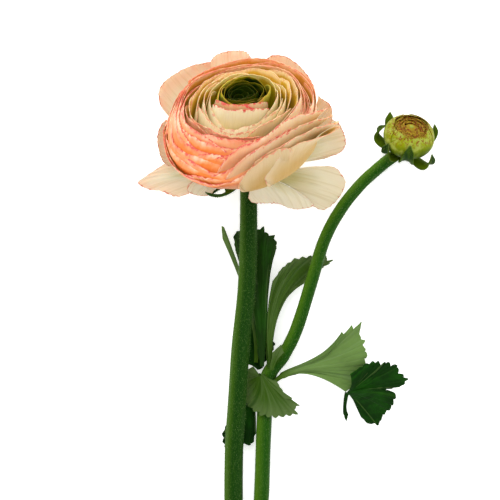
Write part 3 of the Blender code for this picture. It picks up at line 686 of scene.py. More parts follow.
def ring_petals(count):
    """Peach petals in close rings, whose rims run down the outside of the bloom in front on the left.
    Elsewhere only every third one stands tall, so that they show as broad bands."""
    made = []
    for i in range(count):
        share = i / (count - 1)
        rim = level_rim(
            10 + i * GOLDEN_ANGLE, lerp((62, 74), share), lerp((20.4, 25.4), share),
            lerp((34.0, 30.6), share**1.3), fall=0.0, dip=12.6 * share)
        angle = np.radians(rim[:, 0])
        rim[:, 2] -= lerp((2.6, -0.6), share) * np.maximum(np.sin(angle), 0) ** 0.8
        if i % 3:
            rim[:, 2] -= 3.4 * (1 - toward(angle, 240, 120))
        made.append(Petal(
            nest_claw(lerp((6.0, 3.0), share)), (lerp((22.4, 27.4), share), lerp((20.5, 18.5), share)), rim,
            curl=lerp((0.1, 0.3), share), warmth=min(0.72 + share, 1.0), blush=1.0, corner=2.6))
    return made


def loose_petals():
    """Petals on the right that have come away from the rings."""
    return [
        Petal(nest_claw(2.6), (belly, 18.5), rim, warmth=warmth, blush=1 - 0.5 * tan_shade, corner=1.5, tan_shade=tan_shade)
        for belly, warmth, tan_shade, rim in LOOSE_PETALS
    ]


# Blades that fan out from a narrow foot: guard petals, sepals and leaves.


def curve(start, first, second, end, t):
    """Points on a cubic Bezier curve."""
    s = 1 - t
    return start * s**3 + 3 * first * t * s**2 + 3 * second * t**2 * s + end * t**3


def vane(start, first, second, spread, rim, across, half_width, rows):
    """A blade whose veins run from a narrow foot through two shaping points and fan out to the rim. Veins
    that end near the foot leave the midrib early. rows says how far along each row lies. Returns points
    indexed [along, across]."""
    start, first, second, rim = (np.asarray(spot, float) for spot in (start, first, second, rim))
    side = np.linspace(-1, 1, len(rim))[:, None]
    midrib = second - start
    lead = np.clip(LEAD_SHARE * (rim - start) @ midrib / (midrib @ midrib), 0, 1)[:, None]
    fan = spread * (rim - start - lead * (rim.mean(axis=0) - start))
    foot = start + across * half_width * side
    knee = foot + lead * (first - start) + KNEE_SHARE * fan
    hip = start + lead * midrib + fan
    return curve(foot, knee, hip, rim, rows[:, None, None])


def normals_of(points):
    """Unit normals of a grid of points."""
    along = np.gradient(points, axis=0)
    across = np.gradient(points, axis=1)
    normal = np.cross(across, along)
    size = np.linalg.norm(normal, axis=2, keepdims=True)
    return normal / np.maximum(size, 1e-9)


def guard_points(name):
    """A loose outer petal: a fan with low ribs, a slow swell and a frayed rim."""
    columns, rows = GUARD_GRID
    degrees, first, second, spread, rim = GUARDS[name]
    rng = np.random.default_rng(list(GUARDS).index(name) + 50)
    angle = math.radians(degrees)
    start_radius, start_height = nest_claw(1.6)
    start = in_frame(BLOOM_BASE, BLOOM_AXIS, start_radius, angle, start_height)
    across = unit(np.asarray(rim[-1]) - np.asarray(rim[0]))
    rim = resample(smooth_path(rim, 8), columns)
    up = 1 - (1 - np.linspace(0, 1, rows)) ** 1.25
    points = vane(start, first, second, spread, rim, across, 0.9, up)
    side = np.linspace(-1, 1, columns)[None, :]
    ends = smooth(1 - np.abs(side), 0.0, 0.25)
    rates = ((2.0, 6.0), (16.0, 34.0), (30.0, 70.0), (3.0, 7.0))
    slow, ribs, fray, swell = (random_wave(rng, *rate) for rate in rates)
    up = up[:, None]
    push = 0.8 * slow(side[0])[None, :] * up**2 + 0.16 * ribs(side[0])[None, :] * smooth(up, 0.15, 0.6)
    push = push + 0.35 * swell(up[:, 0] * 2)[:, None] * ends * up
    points = points + push[..., None] * normals_of(points)
    run = np.gradient(points, axis=0)
    run = run / np.linalg.norm(run, axis=2, keepdims=True)
    return points + (0.25 * fray(side[0])[None, :] * smooth(up, 0.8, 1.0) * ends)[..., None] * run


def strap_points(start, first, second, tip, lie, half_width, cup):
    """A narrow pointed blade along a curve, hollowed across. lie is the way it lies across at its foot and
    at its tip."""
    columns, rows = SEPAL_GRID
    start, first, second, tip = (np.asarray(spot, float) for spot in (start, first, second, tip))
    t = np.linspace(0, 1, rows)[:, None]
    line = curve(start, first, second, tip, t)
    width = half_width * (0.35 + 0.65 * np.sin(math.pi * (0.12 + 0.8 * t)))
    width = width * (1 - smooth(t, 0.86, 1.04) * 0.85)
    side = np.linspace(-1, 1, columns)
    run = unit_rows(np.gradient(line, axis=0))
    across = unit_rows(lie[0] + (lie[1] - lie[0]) * t)
    out = unit_rows(np.cross(run, across))
    points = line[:, None, :] + (width * side[None, :])[..., None] * across[:, None, :]
    return points + (cup * width * (side[None, :] ** 2 - 0.4))[..., None] * out[:, None, :]


def serrated(rim, count, size, period=2.5):
    """A leaf's rim with its points, and small teeth between them that fade toward its ends."""
    line = resample(rim, count)
    middle = line.mean(axis=0)
    out = unit_rows(line - middle)
    steps = np.concatenate([[0.0], np.cumsum(np.linalg.norm(np.diff(line, axis=0), axis=1))])
    tooth = 1 - np.abs((steps / period) % 1.0 - 0.68) * 2
    share = steps / steps[-1]
    fade = smooth(share, 0.0, 0.15) * smooth(share, 1.0, 0.85)
    return line + (size * fade * tooth)[:, None] * out


def leaf_points(name):
    """A leaf or a lobe: a fan with folds along its veins and small teeth round its rim, face up."""
    start, first, second, spread, rim = LEAVES[name]
    wide = len(rim) > WIDE_RIM
    columns, rows = LEAF_GRID if wide else LOBE_GRID
    rng = np.random.default_rng(list(LEAVES).index(name) + 90)
    across = np.asarray(rim[-1], float) - np.asarray(rim[0], float)
    run = np.asarray(first, float) - np.asarray(start, float)
    across = unit(across - np.dot(across, unit(run)) * unit(run))
    rim = serrated(rim, columns, size=0.85 if wide else 0.0)
    up = np.linspace(0, 1, rows)
    points = vane(start, first, second, spread, rim, across, 0.7, up)
    if normals_of(points)[..., 2].mean() < 0:
        points = points[:, ::-1]
    side = np.linspace(-1, 1, columns)[None, :]
    slow = random_wave(rng, 2.0, 6.0)
    veins = -np.cos(side * math.pi * 3)
    push = 0.5 * slow(side[0])[None, :] * up[:, None] ** 2 + 0.22 * veins * smooth(up, 0.1, 0.7)[:, None]
    return points + (push * (1.0 if wide else 0.2))[..., None] * normals_of(points)


def stem_points(path, radii, ribs, seed):
    """A round stem's skin along a smooth path, indexed [along, around], with low ribs and lumps."""
    rng = np.random.default_rng(seed)
    line = smooth_path(path, STEM_STEPS)
    sizes = smooth_path(np.reshape(radii, (-1, 1)), STEM_STEPS)[:, 0]
    run = unit_rows(np.gradient(line, axis=0))
    across = unit_rows(np.cross(run, [0.0, 0.0, 1.0]))
    rise = np.cross(across, run)
    turn = np.linspace(0, 2 * math.pi, AROUND)
    wander = random_wave(rng, 0.02, 0.12)
    lumps = random_wave(rng, 0.2, 0.9)
    along = np.arange(len(line))
    ridge = 0.022 * np.cos(ribs * turn[None, :] + 7.2 * wander(along)[:, None])
    size = sizes[:, None] * (1 + ridge + 0.012 * lumps(along)[:, None])
    return (
        line[:, None, :]
        + (size * np.cos(turn))[..., None] * across[:, None, :]
        + (size * np.sin(turn))[..., None] * rise[:, None, :]
    )


def tube(points, attributes):
    """A closed tube from a skin whose first and last columns meet."""
    made = grid(points, attributes)
    bpy.ops.object.mode_set(mode="EDIT")
    bpy.ops.mesh.select_all(action="SELECT")
    bpy.ops.mesh.remove_doubles(threshold=1e-6)
    bpy.ops.mesh.select_all(action="DESELECT")
    bpy.ops.mesh.select_non_manifold()
    bpy.ops.mesh.fill_holes(sides=0)
    bpy.ops.mesh.select_all(action="SELECT")
    bpy.ops.mesh.normals_make_consistent(inside=False)
    bpy.ops.object.mode_set(mode="OBJECT")
    return made


def hairs(roots, directions, lengths, width, tilt):
    """Fine tapering hairs, each a copy of one three-sided cone, standing on the roots."""
    deselect()
    bpy.ops.mesh.primitive_cone_add(vertices=3, radius1=1, radius2=0, depth=1, location=(0, 0, 0.5))
    bpy.ops.object.transform_apply(location=True, rotation=False, scale=False)
    made = bpy.context.object
    cone = np.array([vertex.co for vertex in made.data.vertices])
    faces = [list(face.vertices) for face in made.data.polygons]
    directions = unit_rows(directions)
    across = unit_rows(np.cross(directions, tilt))
    other = np.cross(directions, across)
    points = (
        roots[:, None, :]
        + (cone[None, :, 0:1] * width) * across[:, None, :]
        + (cone[None, :, 1:2] * width) * other[:, None, :]
        + (cone[None, :, 2:3] * lengths[:, None, None]) * directions[:, None, :]
    )
    places = place(points.reshape(-1, 3))
    copies = [[vertex + i * len(cone) for vertex in face] for i in range(len(roots)) for face in faces]
    made.data.clear_geometry()
    made.data.from_pydata(places.tolist(), [], copies)
    made.data.update()
    fill(made, spot=(0, 0, 0), edge=FAR_FROM_EDGE, hair=1, inside=0)
    return made


# Finishes.


def colour(value):
    return (*value[:3], 1.0)


class Wire:
    """A node's output. Arithmetic on it adds Math nodes."""

    def __init__(self, finish, socket):
        self.finish = finish
        self.socket = socket

    def maths(self, operation, first, second=0.0):
        return self.finish.node("Math", {"operation": operation}, {0: first, 1: second})

    def __add__(self, other):
        return self.maths("ADD", self, other)

    __radd__ = __add__

    def __sub__(self, other):
        return self.maths("SUBTRACT", self, other)

    def __rsub__(self, other):
        return self.maths("SUBTRACT", other, self)

    def __mul__(self, other):
        return self.maths("MULTIPLY", self, other)

    __rmul__ = __mul__

    def __truediv__(self, other):
        return self.maths("DIVIDE", self, other)

    def zigzag(self):
        """0 at each whole number and a half half way between."""
        return self.maths("PINGPONG", self, 0.5)

    def ramp(self, low, high):
        """0 at low, 1 at high, with an even curve between. low may be above high."""
        values = {"Value": self, "From Min": low, "From Max": high}
        return self.finish.node("MapRange", {"interpolation_type": "SMOOTHSTEP"}, values)


class Finish:
    """A procedural material, built one node at a time."""

    def __init__(self, name):
        self.material = bpy.data.materials.new(name)
        self.material.use_nodes = True
        self.tree = self.material.node_tree
        self.shader = self.tree.nodes["Principled BSDF"]

    def put(self, socket, value):
        """Link a wire to a socket, or put a value on it."""
        if isinstance(value, Wire):
            self.tree.links.new(value.socket, socket)
        else:
            socket.default_value = value

    def node(self, kind, settings=None, inputs=None, output=0):
        """Add a node with its settings, then its sockets' values or links, and return one output."""
        made = self.tree.nodes.new("ShaderNode" + kind)
        for name, value in (settings or {}).items():
            setattr(made, name, value)
        for name, value in (inputs or {}).items():
            self.put(made.inputs[name], value)
        return Wire(self, made.outputs[output])

    def number(self, name):
        """The number that each point has in an attribute."""
        return self.node("Attribute", {"attribute_name": name}, None, "Fac")

    def numbers(self, name):
        """The three numbers that each point has in an attribute."""
        vector = self.node("Attribute", {"attribute_name": name}, None, "Vector")
        parts = self.node("SeparateXYZ", None, {0: vector}).socket.node
        return [Wire(self, part) for part in parts.outputs]

    def noise(self, x, y, z, detail=2.0, rough=0.5):
        """Noise from 0 to 1 at the place (x, y, z)."""
        vector = self.node("CombineXYZ", None, {0: x, 1: y, 2: z})
        inputs = {"Vector": vector, "Scale": 1.0, "Detail": detail, "Roughness": rough}
        return self.node("TexNoise", None, inputs)

    def mix(self, first, second, share, blend="MIX"):
        """The first colour, turned into the second or blended with it as far as share says."""
        settings = {"data_type": "RGBA", "blend_type": blend, "clamp_factor": True}
        first, second = (value if isinstance(value, Wire) else colour(value) for value in (first, second))
        return self.node("Mix", settings, {0: share, 6: first, 7: second}, 2)

    def tinted(self, base, tint, share):
        """A colour multiplied by a tint, as far as share says."""
        return self.mix(base, tint, share, "MULTIPLY")

    def bump(self, height, distance):
        """A normal from a height. The distance is in millimetres."""
        return self.node("Bump", None, {"Height": height, "Distance": distance * MM, "Strength": 1.0})

    def living(self, base, rough, normal, soft, spread, shine):
        """Set what all the plant's finishes have. spread is how far red, green and blue light go inside."""
        self.set(
            Base_Color=base, Roughness=rough, Normal=normal, Subsurface_Weight=soft, Subsurface_Radius=spread,
            Subsurface_Scale=MM, Specular_IOR_Level=shine)
        return self.material

    def set(self, **values):
        """Put values or links on the shader's sockets."""
        for name, value in values.items():
            self.put(self.shader.inputs[name.replace("_", " ")], value)


PETAL_SHINE, HEART_SHINE, GREEN_SHINE = 0.15, 0.03, 0.06
LEAF_SPREAD = (0.4, 0.8, 0.1)  # how far red, green and blue light go inside a leaf, in millimetres


def scaled(tone, factor):
    return [value * factor for value in tone]


def petal_finish(name, bloom, shine=PETAL_SHINE):
    """Petals: cream, peach or green by their tint, with a coral edge. Below the rim they go deeper in colour,
    partly their own and partly painted shade, and they glow faintly in their own colour as painted light.
    """
    pale_rim, ring_shade, outside = (0.87, 0.46, 0.29), (0.60, 0.11, 0.01), (0.46, 0.17, 0.09)
    low_cream, streak, glow_tone = (0.80, 0.60, 0.20), (0.88, 0.62, 0.44), (0.80, 0.16, 0.07)
    tan_shade_rim, tan_shade_low = (0.54, 0.36, 0.17), (0.37, 0.19, 0.045)
    inner_rim, inner_green = (0.84, 0.58, 0.30), (0.76, 0.66, 0.26)
    inner_gold_shade, inner_shade, inner_peach = (0.56, 0.33, 0.015), (0.32, 0.20, 0.003), (0.80, 0.34, 0.12)
    lime_rim, lime_low_shade = (0.62, 0.56, 0.07), (0.33, 0.28, 0.002)
    olive, moss, pit = (0.30, 0.26, 0.003), (0.020, 0.034, 0.001), (0.001, 0.006, 0.0005)

    f = Finish(name)
    edge, inside, tan_shade = f.number("edge"), f.number("inside"), f.number("tan_shade")
    warmth, green, blush = f.numbers("tint")
    across, depth, own = f.numbers("spot")
    cloud = f.noise(across * 0.16, depth * 0.16, own)
    patch = f.noise(across * 0.16, depth * 0.05, own + 40.0)
    dash = f.noise(across * 0.5, depth * 0.5, own + 80.0, detail=3.0, rough=0.6)
    vein = f.noise(across * 1.5, depth * 0.10, own, detail=3.0, rough=0.6)
    fine = f.noise(across * 3.2, depth * 0.35, own)
    reach = depth + (cloud - 0.5) * 5.0

    cream = f.mix(bloom.cream, low_cream, reach.ramp(1.5, 14.0))
    # Peach petals go from a pale rim through orange below it: partly their own colour, partly painted shade.
    # A dark band 3 to 9 mm below the rim is painted shade between the rings.
    peach = f.mix(pale_rim, bloom.peach, reach.ramp(0.2, 1.2))
    peach = f.mix(peach, bloom.orange_and_shade, reach.ramp(0.9, 2.8))
    peach = f.mix(peach, ring_shade, depth.ramp(2.6, 5.0) * depth.ramp(9.0, 5.5))
    peach = f.mix(peach, outside, reach.ramp(5.0, 9.0))
    base = f.mix(cream, peach, warmth)
    base = f.mix(base, streak, depth.ramp(2.2, 0.3) * dash.ramp(0.52, 0.36) * 0.6 * (1 - inside))
    # Some petals turn a brownish tan that darkens below the rim: partly their own colour, partly painted
    # shade.
    base = f.mix(base, f.mix(tan_shade_rim, tan_shade_low, reach.ramp(1.0, 13.0)), tan_shade)

    # On a petal's inner face the colour turns golden and then dark below the rim: painted shade inside the
    # nest.
    inner = f.mix(inner_rim, inner_green, green * 2.0)
    inner = f.mix(inner, inner_gold_shade, reach.ramp(0.2, 2.4))
    inner = f.mix(inner, inner_shade, reach.ramp(2.5, 6.0))
    inner = f.mix(inner, inner_peach, warmth * 0.4)
    base = f.mix(base, inner, inside * green.ramp(0.80, 0.70))

    # Lime green that darkens below the rim: partly the petals' own colour, partly painted shade.
    lime = f.mix(lime_rim, lime_low_shade, reach.ramp(0.4, 3.0))
    leafy = f.mix(olive, moss, green.ramp(0.82, 0.96))
    leafy = f.mix(leafy, bloom.green, reach.ramp(0.1, 1.6) * cloud.ramp(0.2, 0.5))
    # Deep below their rims the heart's petals go near black: painted shade in the pit.
    leafy = f.mix(leafy, pit, reach.ramp(0.6, 3.6))
    base = f.mix(base, lime, (green * 1.1 + inside * 0.08) * reach.ramp(0.5, 8.0))
    base = f.mix(base, lime, green.ramp(0.60, 0.78))
    base = f.mix(base, leafy, green.ramp(0.78, 0.86))

    base = f.tinted(base, (0.88, 0.80, 0.70), vein.ramp(0.45, 0.75) * 0.45)
    glow = depth.ramp(2.4, 0.2) * warmth.ramp(0.1, 0.8) * patch.ramp(0.40, 0.60)
    base = f.mix(base, glow_tone, glow * (0.7 - inside * 0.4))
    width = 0.10 + vein.ramp(0.42, 0.78) * 0.7 + dash.ramp(0.48, 0.68) * 1.5
    flush = (1 - (edge / width).ramp(0.3, 1.0)) * blush * dash.ramp(0.36, 0.54)
    base = f.mix(base, bloom.edge, flush * (0.95 - green * 0.5))
    # The petals glow faintly in their own colour: painted light that fills the shade between them.
    f.set(Emission_Color=base, Emission_Strength=0.12)
    normal = f.bump(vein * 0.7 + fine * 0.5, 0.16)
    return f.living(base, 0.42 + cloud * 0.2, normal, soft=0.15, spread=(1.0, 0.4, 0.15), shine=shine)


def guard_finish(name):
    """Loose outer petals: pale cream with peach toward the rim, long faint veins and a brown-pink edge."""
    cream, low_green, peach = (0.76, 0.70, 0.52), (0.50, 0.47, 0.22), (0.84, 0.60, 0.44)
    pale_rim, coral, brown_pink = (0.90, 0.74, 0.56), (0.90, 0.36, 0.22), (0.55, 0.14, 0.09)

    f = Finish(name)
    edge = f.number("edge")
    warmth, _, blush = f.numbers("tint")
    across, depth, own = f.numbers("spot")
    cloud = f.noise(across * 0.12, depth * 0.12, own)
    patch = f.noise(across * 0.25, depth * 0.08, own + 40.0)
    vein = f.noise(across * 1.1, depth * 0.06, own, detail=3.0, rough=0.6)
    reach = depth + (cloud - 0.5) * 6.0
    base = f.mix(cream, low_green, reach.ramp(7.0, 21.0))
    base = f.mix(base, peach, reach.ramp(11.0, 1.0) * warmth)
    base = f.mix(base, pale_rim, reach.ramp(2.0, 0.0) * warmth * 0.7)
    base = f.tinted(base, (0.84, 0.80, 0.66), vein.ramp(0.46, 0.70) * 0.6)
    base = f.mix(base, coral, depth.ramp(4.0, 0.2) * patch.ramp(0.45, 0.65) * warmth * 0.4)
    width = 0.12 + vein.ramp(0.45, 0.75) * 1.3 + cloud.ramp(0.45, 0.75) * 0.4
    flush = (1 - (edge / width).ramp(0.3, 1.0)) * blush * patch.ramp(0.30, 0.5)
    base = f.mix(base, brown_pink, flush * 0.9)
    normal = f.bump(vein, 0.22)
    return f.living(base, 0.45 + cloud * 0.2, normal, soft=0.15, spread=(1.0, 0.6, 0.3), shine=PETAL_SHINE)


def stem_finish(name, stem, lighter):
    """Green skin with long streaks and pale flecks, yellower on its left as painted light and darker on its
    right as painted shade.
    """
    lit_yellow_side, shaded_dark_side = scaled((0.046, 0.112, 0.004), lighter), scaled((0.009, 0.046, 0.001), lighter)
    fleck, hair_tone = (0.085, 0.150, 0.035), (0.16, 0.25, 0.08)

    f = Finish(name)
    across, along, own = f.numbers("spot")
    streak = f.noise(across * 1.2, along * 0.05, own, detail=3.0, rough=0.6)
    cloud = f.noise(across * 0.25, along * 0.06, own)
    grain = f.noise(across * 5.0, along * 1.5, own)
    side = f.number("band") + (streak - 0.5) * 0.3
    # Painted light on the stem's left side and painted shade on its right.
    base = f.mix(scaled(stem.skin, lighter), lit_yellow_side, side.ramp(0.67 * lighter - 0.72, -0.95))
    base = f.mix(base, shaded_dark_side, side.ramp(0.30, 0.85))
    base = f.mix(base, lit_yellow_side, streak.ramp(0.50, 0.75) * 0.15 + cloud.ramp(0.5, 0.8) * 0.1)
    base = f.tinted(base, (0.62, 0.72, 0.5), grain.ramp(0.46, 0.60) * 0.55)
    base = f.mix(base, fleck, grain.ramp(0.42, 0.34) * 0.45)
    base = f.mix(base, hair_tone, f.number("hair"))
    normal = f.bump(streak * 0.6 + grain * 0.4, 0.14)
    return f.living(base, 0.40 + grain * 0.25, normal, soft=0.1, spread=(0.5, 0.9, 0.15), shine=GREEN_SHINE)


def leaf_finish(name, leaf, turned_up):
    """Leaves: veins that fan from the stalk, dark green above and grey-green below. Some go to olive, paler
    toward the rim as painted sheen.
    """
    stalk, grey, shade = (0.050, 0.115, 0.004), (0.17, 0.27, 0.10), (0.001, 0.012, 0.0005)
    vein_above, vein_below = (0.022, 0.085, 0.006), (0.20, 0.31, 0.11)
    olive_low, olive_high, olive_rim_sheen = (0.032, 0.080, 0.003), (0.066, 0.120, 0.028), (0.095, 0.150, 0.045)
    olive_vein = (0.012, 0.050, 0.002)

    f = Finish(name)
    edge, inside = f.number("edge"), f.number("inside")
    fan, along, tone = f.numbers("fan")
    across, depth, own = f.numbers("spot")
    cloud = f.noise(across * 0.12, depth * 0.12, own, detail=3.0)
    grain = f.noise(across * 2.2, depth * 1.2, own, detail=3.0, rough=0.6)
    streak = f.noise(fan * 22.0, depth * 0.05, own, detail=3.0, rough=0.6)
    bent = fan + (cloud - 0.5) * 0.02
    main, minor = ((bent * count).zigzag() for count in (3.0, 9.0))
    line = (1 - main.ramp(0.0, 0.05)) + (1 - minor.ramp(0.0, 0.10)) * 0.55 * along.ramp(0.25, 0.5)
    turned = 1 - inside * 0.25 if turned_up else inside * 0.2

    under = f.mix(leaf.under, scaled(leaf.under, 0.8), cloud.ramp(0.35, 0.7))
    under = f.mix(under, grey, streak.ramp(0.45, 0.75) * 0.5)
    under = f.mix(stalk, under, along.ramp(0.05, 0.45))
    upper = f.mix(leaf.upper, scaled(leaf.upper, 2.4), cloud.ramp(0.40, 0.75))
    upper = f.mix(upper, shade, streak.ramp(0.5, 0.75) * 0.6)
    base = f.mix(upper, under, turned)
    pale = f.mix(vein_above, vein_below, turned)
    base = f.mix(base, pale, line * 0.22)
    base = f.mix(base, pale, edge.ramp(0.25, 0.05) * 0.3)
    olive = f.mix(olive_low, olive_high, streak.ramp(0.40, 0.7))
    # Toward the rim an olive leaf turns paler: painted sheen.
    olive = f.mix(olive, olive_rim_sheen, depth.ramp(7.0, 0.0) * 0.7)
    olive = f.mix(olive, olive_vein, line * 0.4)
    base = f.mix(base, olive, tone)
    normal = f.bump(grain * 0.35 - line * 0.5, 0.15)
    return f.living(base, 0.40 + grain * 0.3, normal, soft=0.1, spread=LEAF_SPREAD, shine=GREEN_SHINE)


def sepal_finish(name, bud):
    """Sepals: dark green with pale fuzz and paler edges."""
    light, inner = (0.045, 0.095, 0.003), (0.12, 0.19, 0.003)
    rim, hair_tone = (0.17, 0.21, 0.05), (0.07, 0.11, 0.02)

    f = Finish(name)
    across, depth, own = f.numbers("spot")
    cloud = f.noise(across * 0.5, depth * 0.2, own, detail=3.0)
    grain = f.noise(across * 4.0, depth * 2.0, own)
    base = f.mix(bud.sepal, light, cloud.ramp(0.4, 0.75))
    base = f.mix(base, inner, f.number("inside") * 0.55)
    base = f.mix(base, rim, f.number("edge").ramp(0.4, 0.0) * 0.4)
    base = f.mix(base, hair_tone, f.number("hair"))
    normal = f.bump(grain, 0.12)
    return f.living(base, 0.5 + grain * 0.2, normal, soft=0.12, spread=LEAF_SPREAD, shine=GREEN_SHINE)


def bud_finish(name, bud):
    """The bud's petals: yellow-green, with a golden-brown mottled middle and reddish specks round it."""
    pale, green, low = (0.34, 0.39, 0.06), (0.12, 0.17, 0.001), (0.045, 0.085, 0.001)
    gold, brown = (0.34, 0.24, 0.015), (0.09, 0.045, 0.002)

    f = Finish(name)
    edge, inside, core = f.number("edge"), f.number("inside"), f.number("core")
    across, depth, own = f.numbers("spot")
    cloud = f.noise(across * 0.35, depth * 0.35, own)
    vein = f.noise(across * 1.8, depth * 0.25, own, detail=3.0, rough=0.6)
    speck = f.noise(across * 1.7, depth * 1.0, own)
    mottle = f.noise(across * 1.3, depth * 1.6, own, detail=3.0, rough=0.6)
    base = f.mix(pale, bud.petal, cloud.ramp(0.35, 0.6))
    base = f.mix(base, green, depth.ramp(2.0, 6.0) * cloud.ramp(0.30, 0.6))
    base = f.mix(base, low, depth.ramp(4.0, 9.5))
    base = f.tinted(base, (0.82, 0.84, 0.5), vein.ramp(0.45, 0.7) * 0.5)
    base = f.mix(base, f.mix(gold, brown, mottle.ramp(0.42, 0.62)), core * 2.0)
    marks = speck.ramp(0.52, 0.60) * depth.ramp(4.6, 1.4) + (1 - edge.ramp(0.05, 0.35)) * 0.6
    base = f.mix(base, bud.speck, marks * 0.8)
    base = f.tinted(base, (0.5, 0.55, 0.2), inside * 0.8)
    normal = f.bump(vein, 0.15)
    return f.living(base, 0.4 + cloud * 0.2, normal, soft=0.2, spread=(0.9, 0.8, 0.2), shine=GREEN_SHINE)


# Pieces that are made of a blade and its hairs, and the bud's shells.


def hairy_blade(points, thick, index):
    """A sheet, and fine hairs on its outer side."""
    rng = np.random.default_rng(700 + index)
    spot, edge = blade_places(points, 5.1 * index)
    blade = sheet(points, thick, {"spot": spot, "edge": edge, "hair": np.zeros_like(edge)})
    rows, columns = points.shape[:2]
    row = rng.integers(1, rows - 1, SEPAL_HAIRS)
    column = rng.integers(0, columns, SEPAL_HAIRS)
    normal = normals_of(points)[row, column]
    lean = normal + rng.normal(0, 0.35, (SEPAL_HAIRS, 3))
    lengths = SEPAL_HAIR_LENGTH * rng.uniform(0.5, 1.2, SEPAL_HAIRS)
    tilt = rng.normal(0, 1, (SEPAL_HAIRS, 3))
    return [blade, hairs(points[row, column] + normal * thick / 2, lean, lengths, SEPAL_HAIR_WIDTH, tilt)]


def hairy_stem(path, radii, stem, seed, ribs):
    """A stem's skin, and fine hairs all round it but for those that would reach below what it lies on."""
    points = stem_points(path, radii, ribs, seed)
    spot, edge = blade_places(points, 2.7 * seed)
    band = np.broadcast_to(np.cos(np.linspace(0, 2 * math.pi, AROUND)), edge.shape)
    skin = tube(points, {"spot": spot, "hair": 0 * edge, "band": band})
    rng = np.random.default_rng(seed)
    count = stem.hairs
    row = rng.integers(1, points.shape[0] - 1, count)
    column = rng.integers(0, points.shape[1] - 1, count)
    share = rng.uniform(0, 1, (count, 1))
    roots = points[row, column] * (1 - share) + points[row + 1, column] * share
    out = unit_rows(roots - points[row].mean(axis=1))
    run = unit_rows(points[row + 1, column] - points[row, column])
    lean = out + run * rng.normal(0.15, 0.3, (count, 1)) + rng.normal(0, 0.2, (count, 3))
    lengths = stem.hair_length / MM * rng.uniform(0.4, 1.3, count)
    tilt = rng.normal(0, 1, (count, 3))
    clear = place(roots + unit_rows(lean) * lengths[:, None])[:, 2] > 0
    fuzz = hairs((roots - out * 0.05)[clear], lean[clear], lengths[clear], STEM_HAIR_WIDTH, tilt[clear])
    return [skin, fuzz]


def receptacle():
    """The knob that the petals grow from, turned about the bloom's axis."""
    profile = smooth_path([(radius, height) for height, radius in RECEPTACLE] + [(2.9, -1.6)], 4)[::-1]
    turn = np.linspace(0, 2 * math.pi, AROUND)
    radius = np.maximum(profile[:, [0]], 0.05) * (1 + 0.02 * np.cos(15 * turn)[None, :])
    points = in_frame(BLOOM_BASE, BLOOM_AXIS, radius, turn[None, :], profile[:, [1]])
    spot, edge = blade_places(points, 3.3)
    return tube(points, {"spot": spot, "edge": np.full_like(edge, FAR_FROM_EDGE), "hair": 0 * edge})


def bud_shell(degrees, half, radius, low, high, mesh_grid, seed, ragged=1.0):
    """A petal wrapped over the bud, from a low to a high angle of its dome, with a ragged rim."""
    columns, rows = mesh_grid
    rng = np.random.default_rng(seed)
    wave, teeth, swell = (random_wave(rng, *rate) for rate in ((2.0, 9.0), (30.0, 60.0), (2.0, 6.0)))
    side = np.linspace(-1, 1, columns)[None, :]
    up = np.linspace(0, 1, rows)[:, None]
    uneven = 0.035 * wave(side[0]) + 0.02 * teeth(side[0])
    reach = 1 - 0.10 * np.abs(side) ** 2.5 + ragged * uneven[None, :]
    turn = np.radians(lerp((low, high), up * reach))
    squeeze = 1 - 0.2 * smooth(up, 0.7, 1.0) * side**2
    bulge = 1 + 0.03 * swell(side[0])[None, :] * up
    return in_frame(
        BUD_BASE, BUD_AXIS, radius * np.sin(turn) * bulge, np.radians(degrees + side * half * squeeze),
        BUD_MIDDLE - (BUD_MIDDLE - BUD_RADIUS + radius) * np.cos(turn))


def bud_ball(radius, height, core):
    """A ball on the bud's axis."""
    deselect()
    bpy.ops.mesh.primitive_uv_sphere_add(segments=32, ring_count=16, radius=radius * MM)
    ball = bpy.context.object
    ball.location = place(in_frame(BUD_BASE, BUD_AXIS, 0.0, 0.0, height))
    bpy.ops.object.transform_apply(location=True, rotation=True, scale=True)
    fill(ball, edge=FAR_FROM_EDGE, spot=(4, 4, 4), core=core)
    return ball


# Operators: one for each piece or group of like pieces.


class RANUNCULUS_OT_heart(bpy.types.Operator):
    """Make the folded green petals in the middle of the bloom"""

    bl_idname = "ranunculus.heart"
    bl_label = "Heart"

    def execute(self, context):
        bloom = context.scene.ranunculus_bloom
        finish = petal_finish("heart petals", bloom, HEART_SHINE)
        parts = [
            petal.sheet(300 + i, bloom.thickness / MM, *HEART_GRID)
            for i, petal in enumerate(heart_petals(bloom.heart_petals))
        ]
        joined("heart_petals", parts, finish, ["heart"])
        return {"FINISHED"}


class RANUNCULUS_OT_nest(bpy.types.Operator):
    """Make the petals of the cup and the rings"""

    bl_idname = "ranunculus.nest"
    bl_label = "Nest"

    def execute(self, context):
        bloom = context.scene.ranunculus_bloom
        finish = petal_finish("ring petals", bloom)
        petals = cup_petals(bloom.cup_petals) + gap_petals() + ring_petals(bloom.ring_petals) + loose_petals()
        nodes = sorted(node for node in frame["nodes"] if node.startswith("petal_"))
        for number, node in enumerate(nodes):
            first, last = (round(len(petals) * end / len(nodes)) for end in (number, number + 1))
            parts = [petals[i].sheet(i, bloom.thickness / MM, *NEST_GRID) for i in range(first, last)]
            joined("ring_" + node, parts, finish, [node])
        return {"FINISHED"}


class RANUNCULUS_OT_guards(bpy.types.Operator):
    """Make the loose outer petals"""

    bl_idname = "ranunculus.guards"
    bl_label = "Guard petals"

    def execute(self, context):
        finish = guard_finish("guard petals")
        thick = context.scene.ranunculus_bloom.thickness / MM
        for index, name in enumerate(GUARDS):
            points = guard_points(name)
            spot, edge = blade_places(points, 11.7 * index)
            warmth = GUARD_WARMTH.get(name, GUARD_WARMTH_ELSEWHERE)
            tint = np.broadcast_to((warmth, 0.0, 0.9), spot.shape)
            part = sheet(points, thick, {"spot": spot, "edge": edge, "tint": tint})
            joined("loose_" + name, [part], finish, [name])
        return {"FINISHED"}


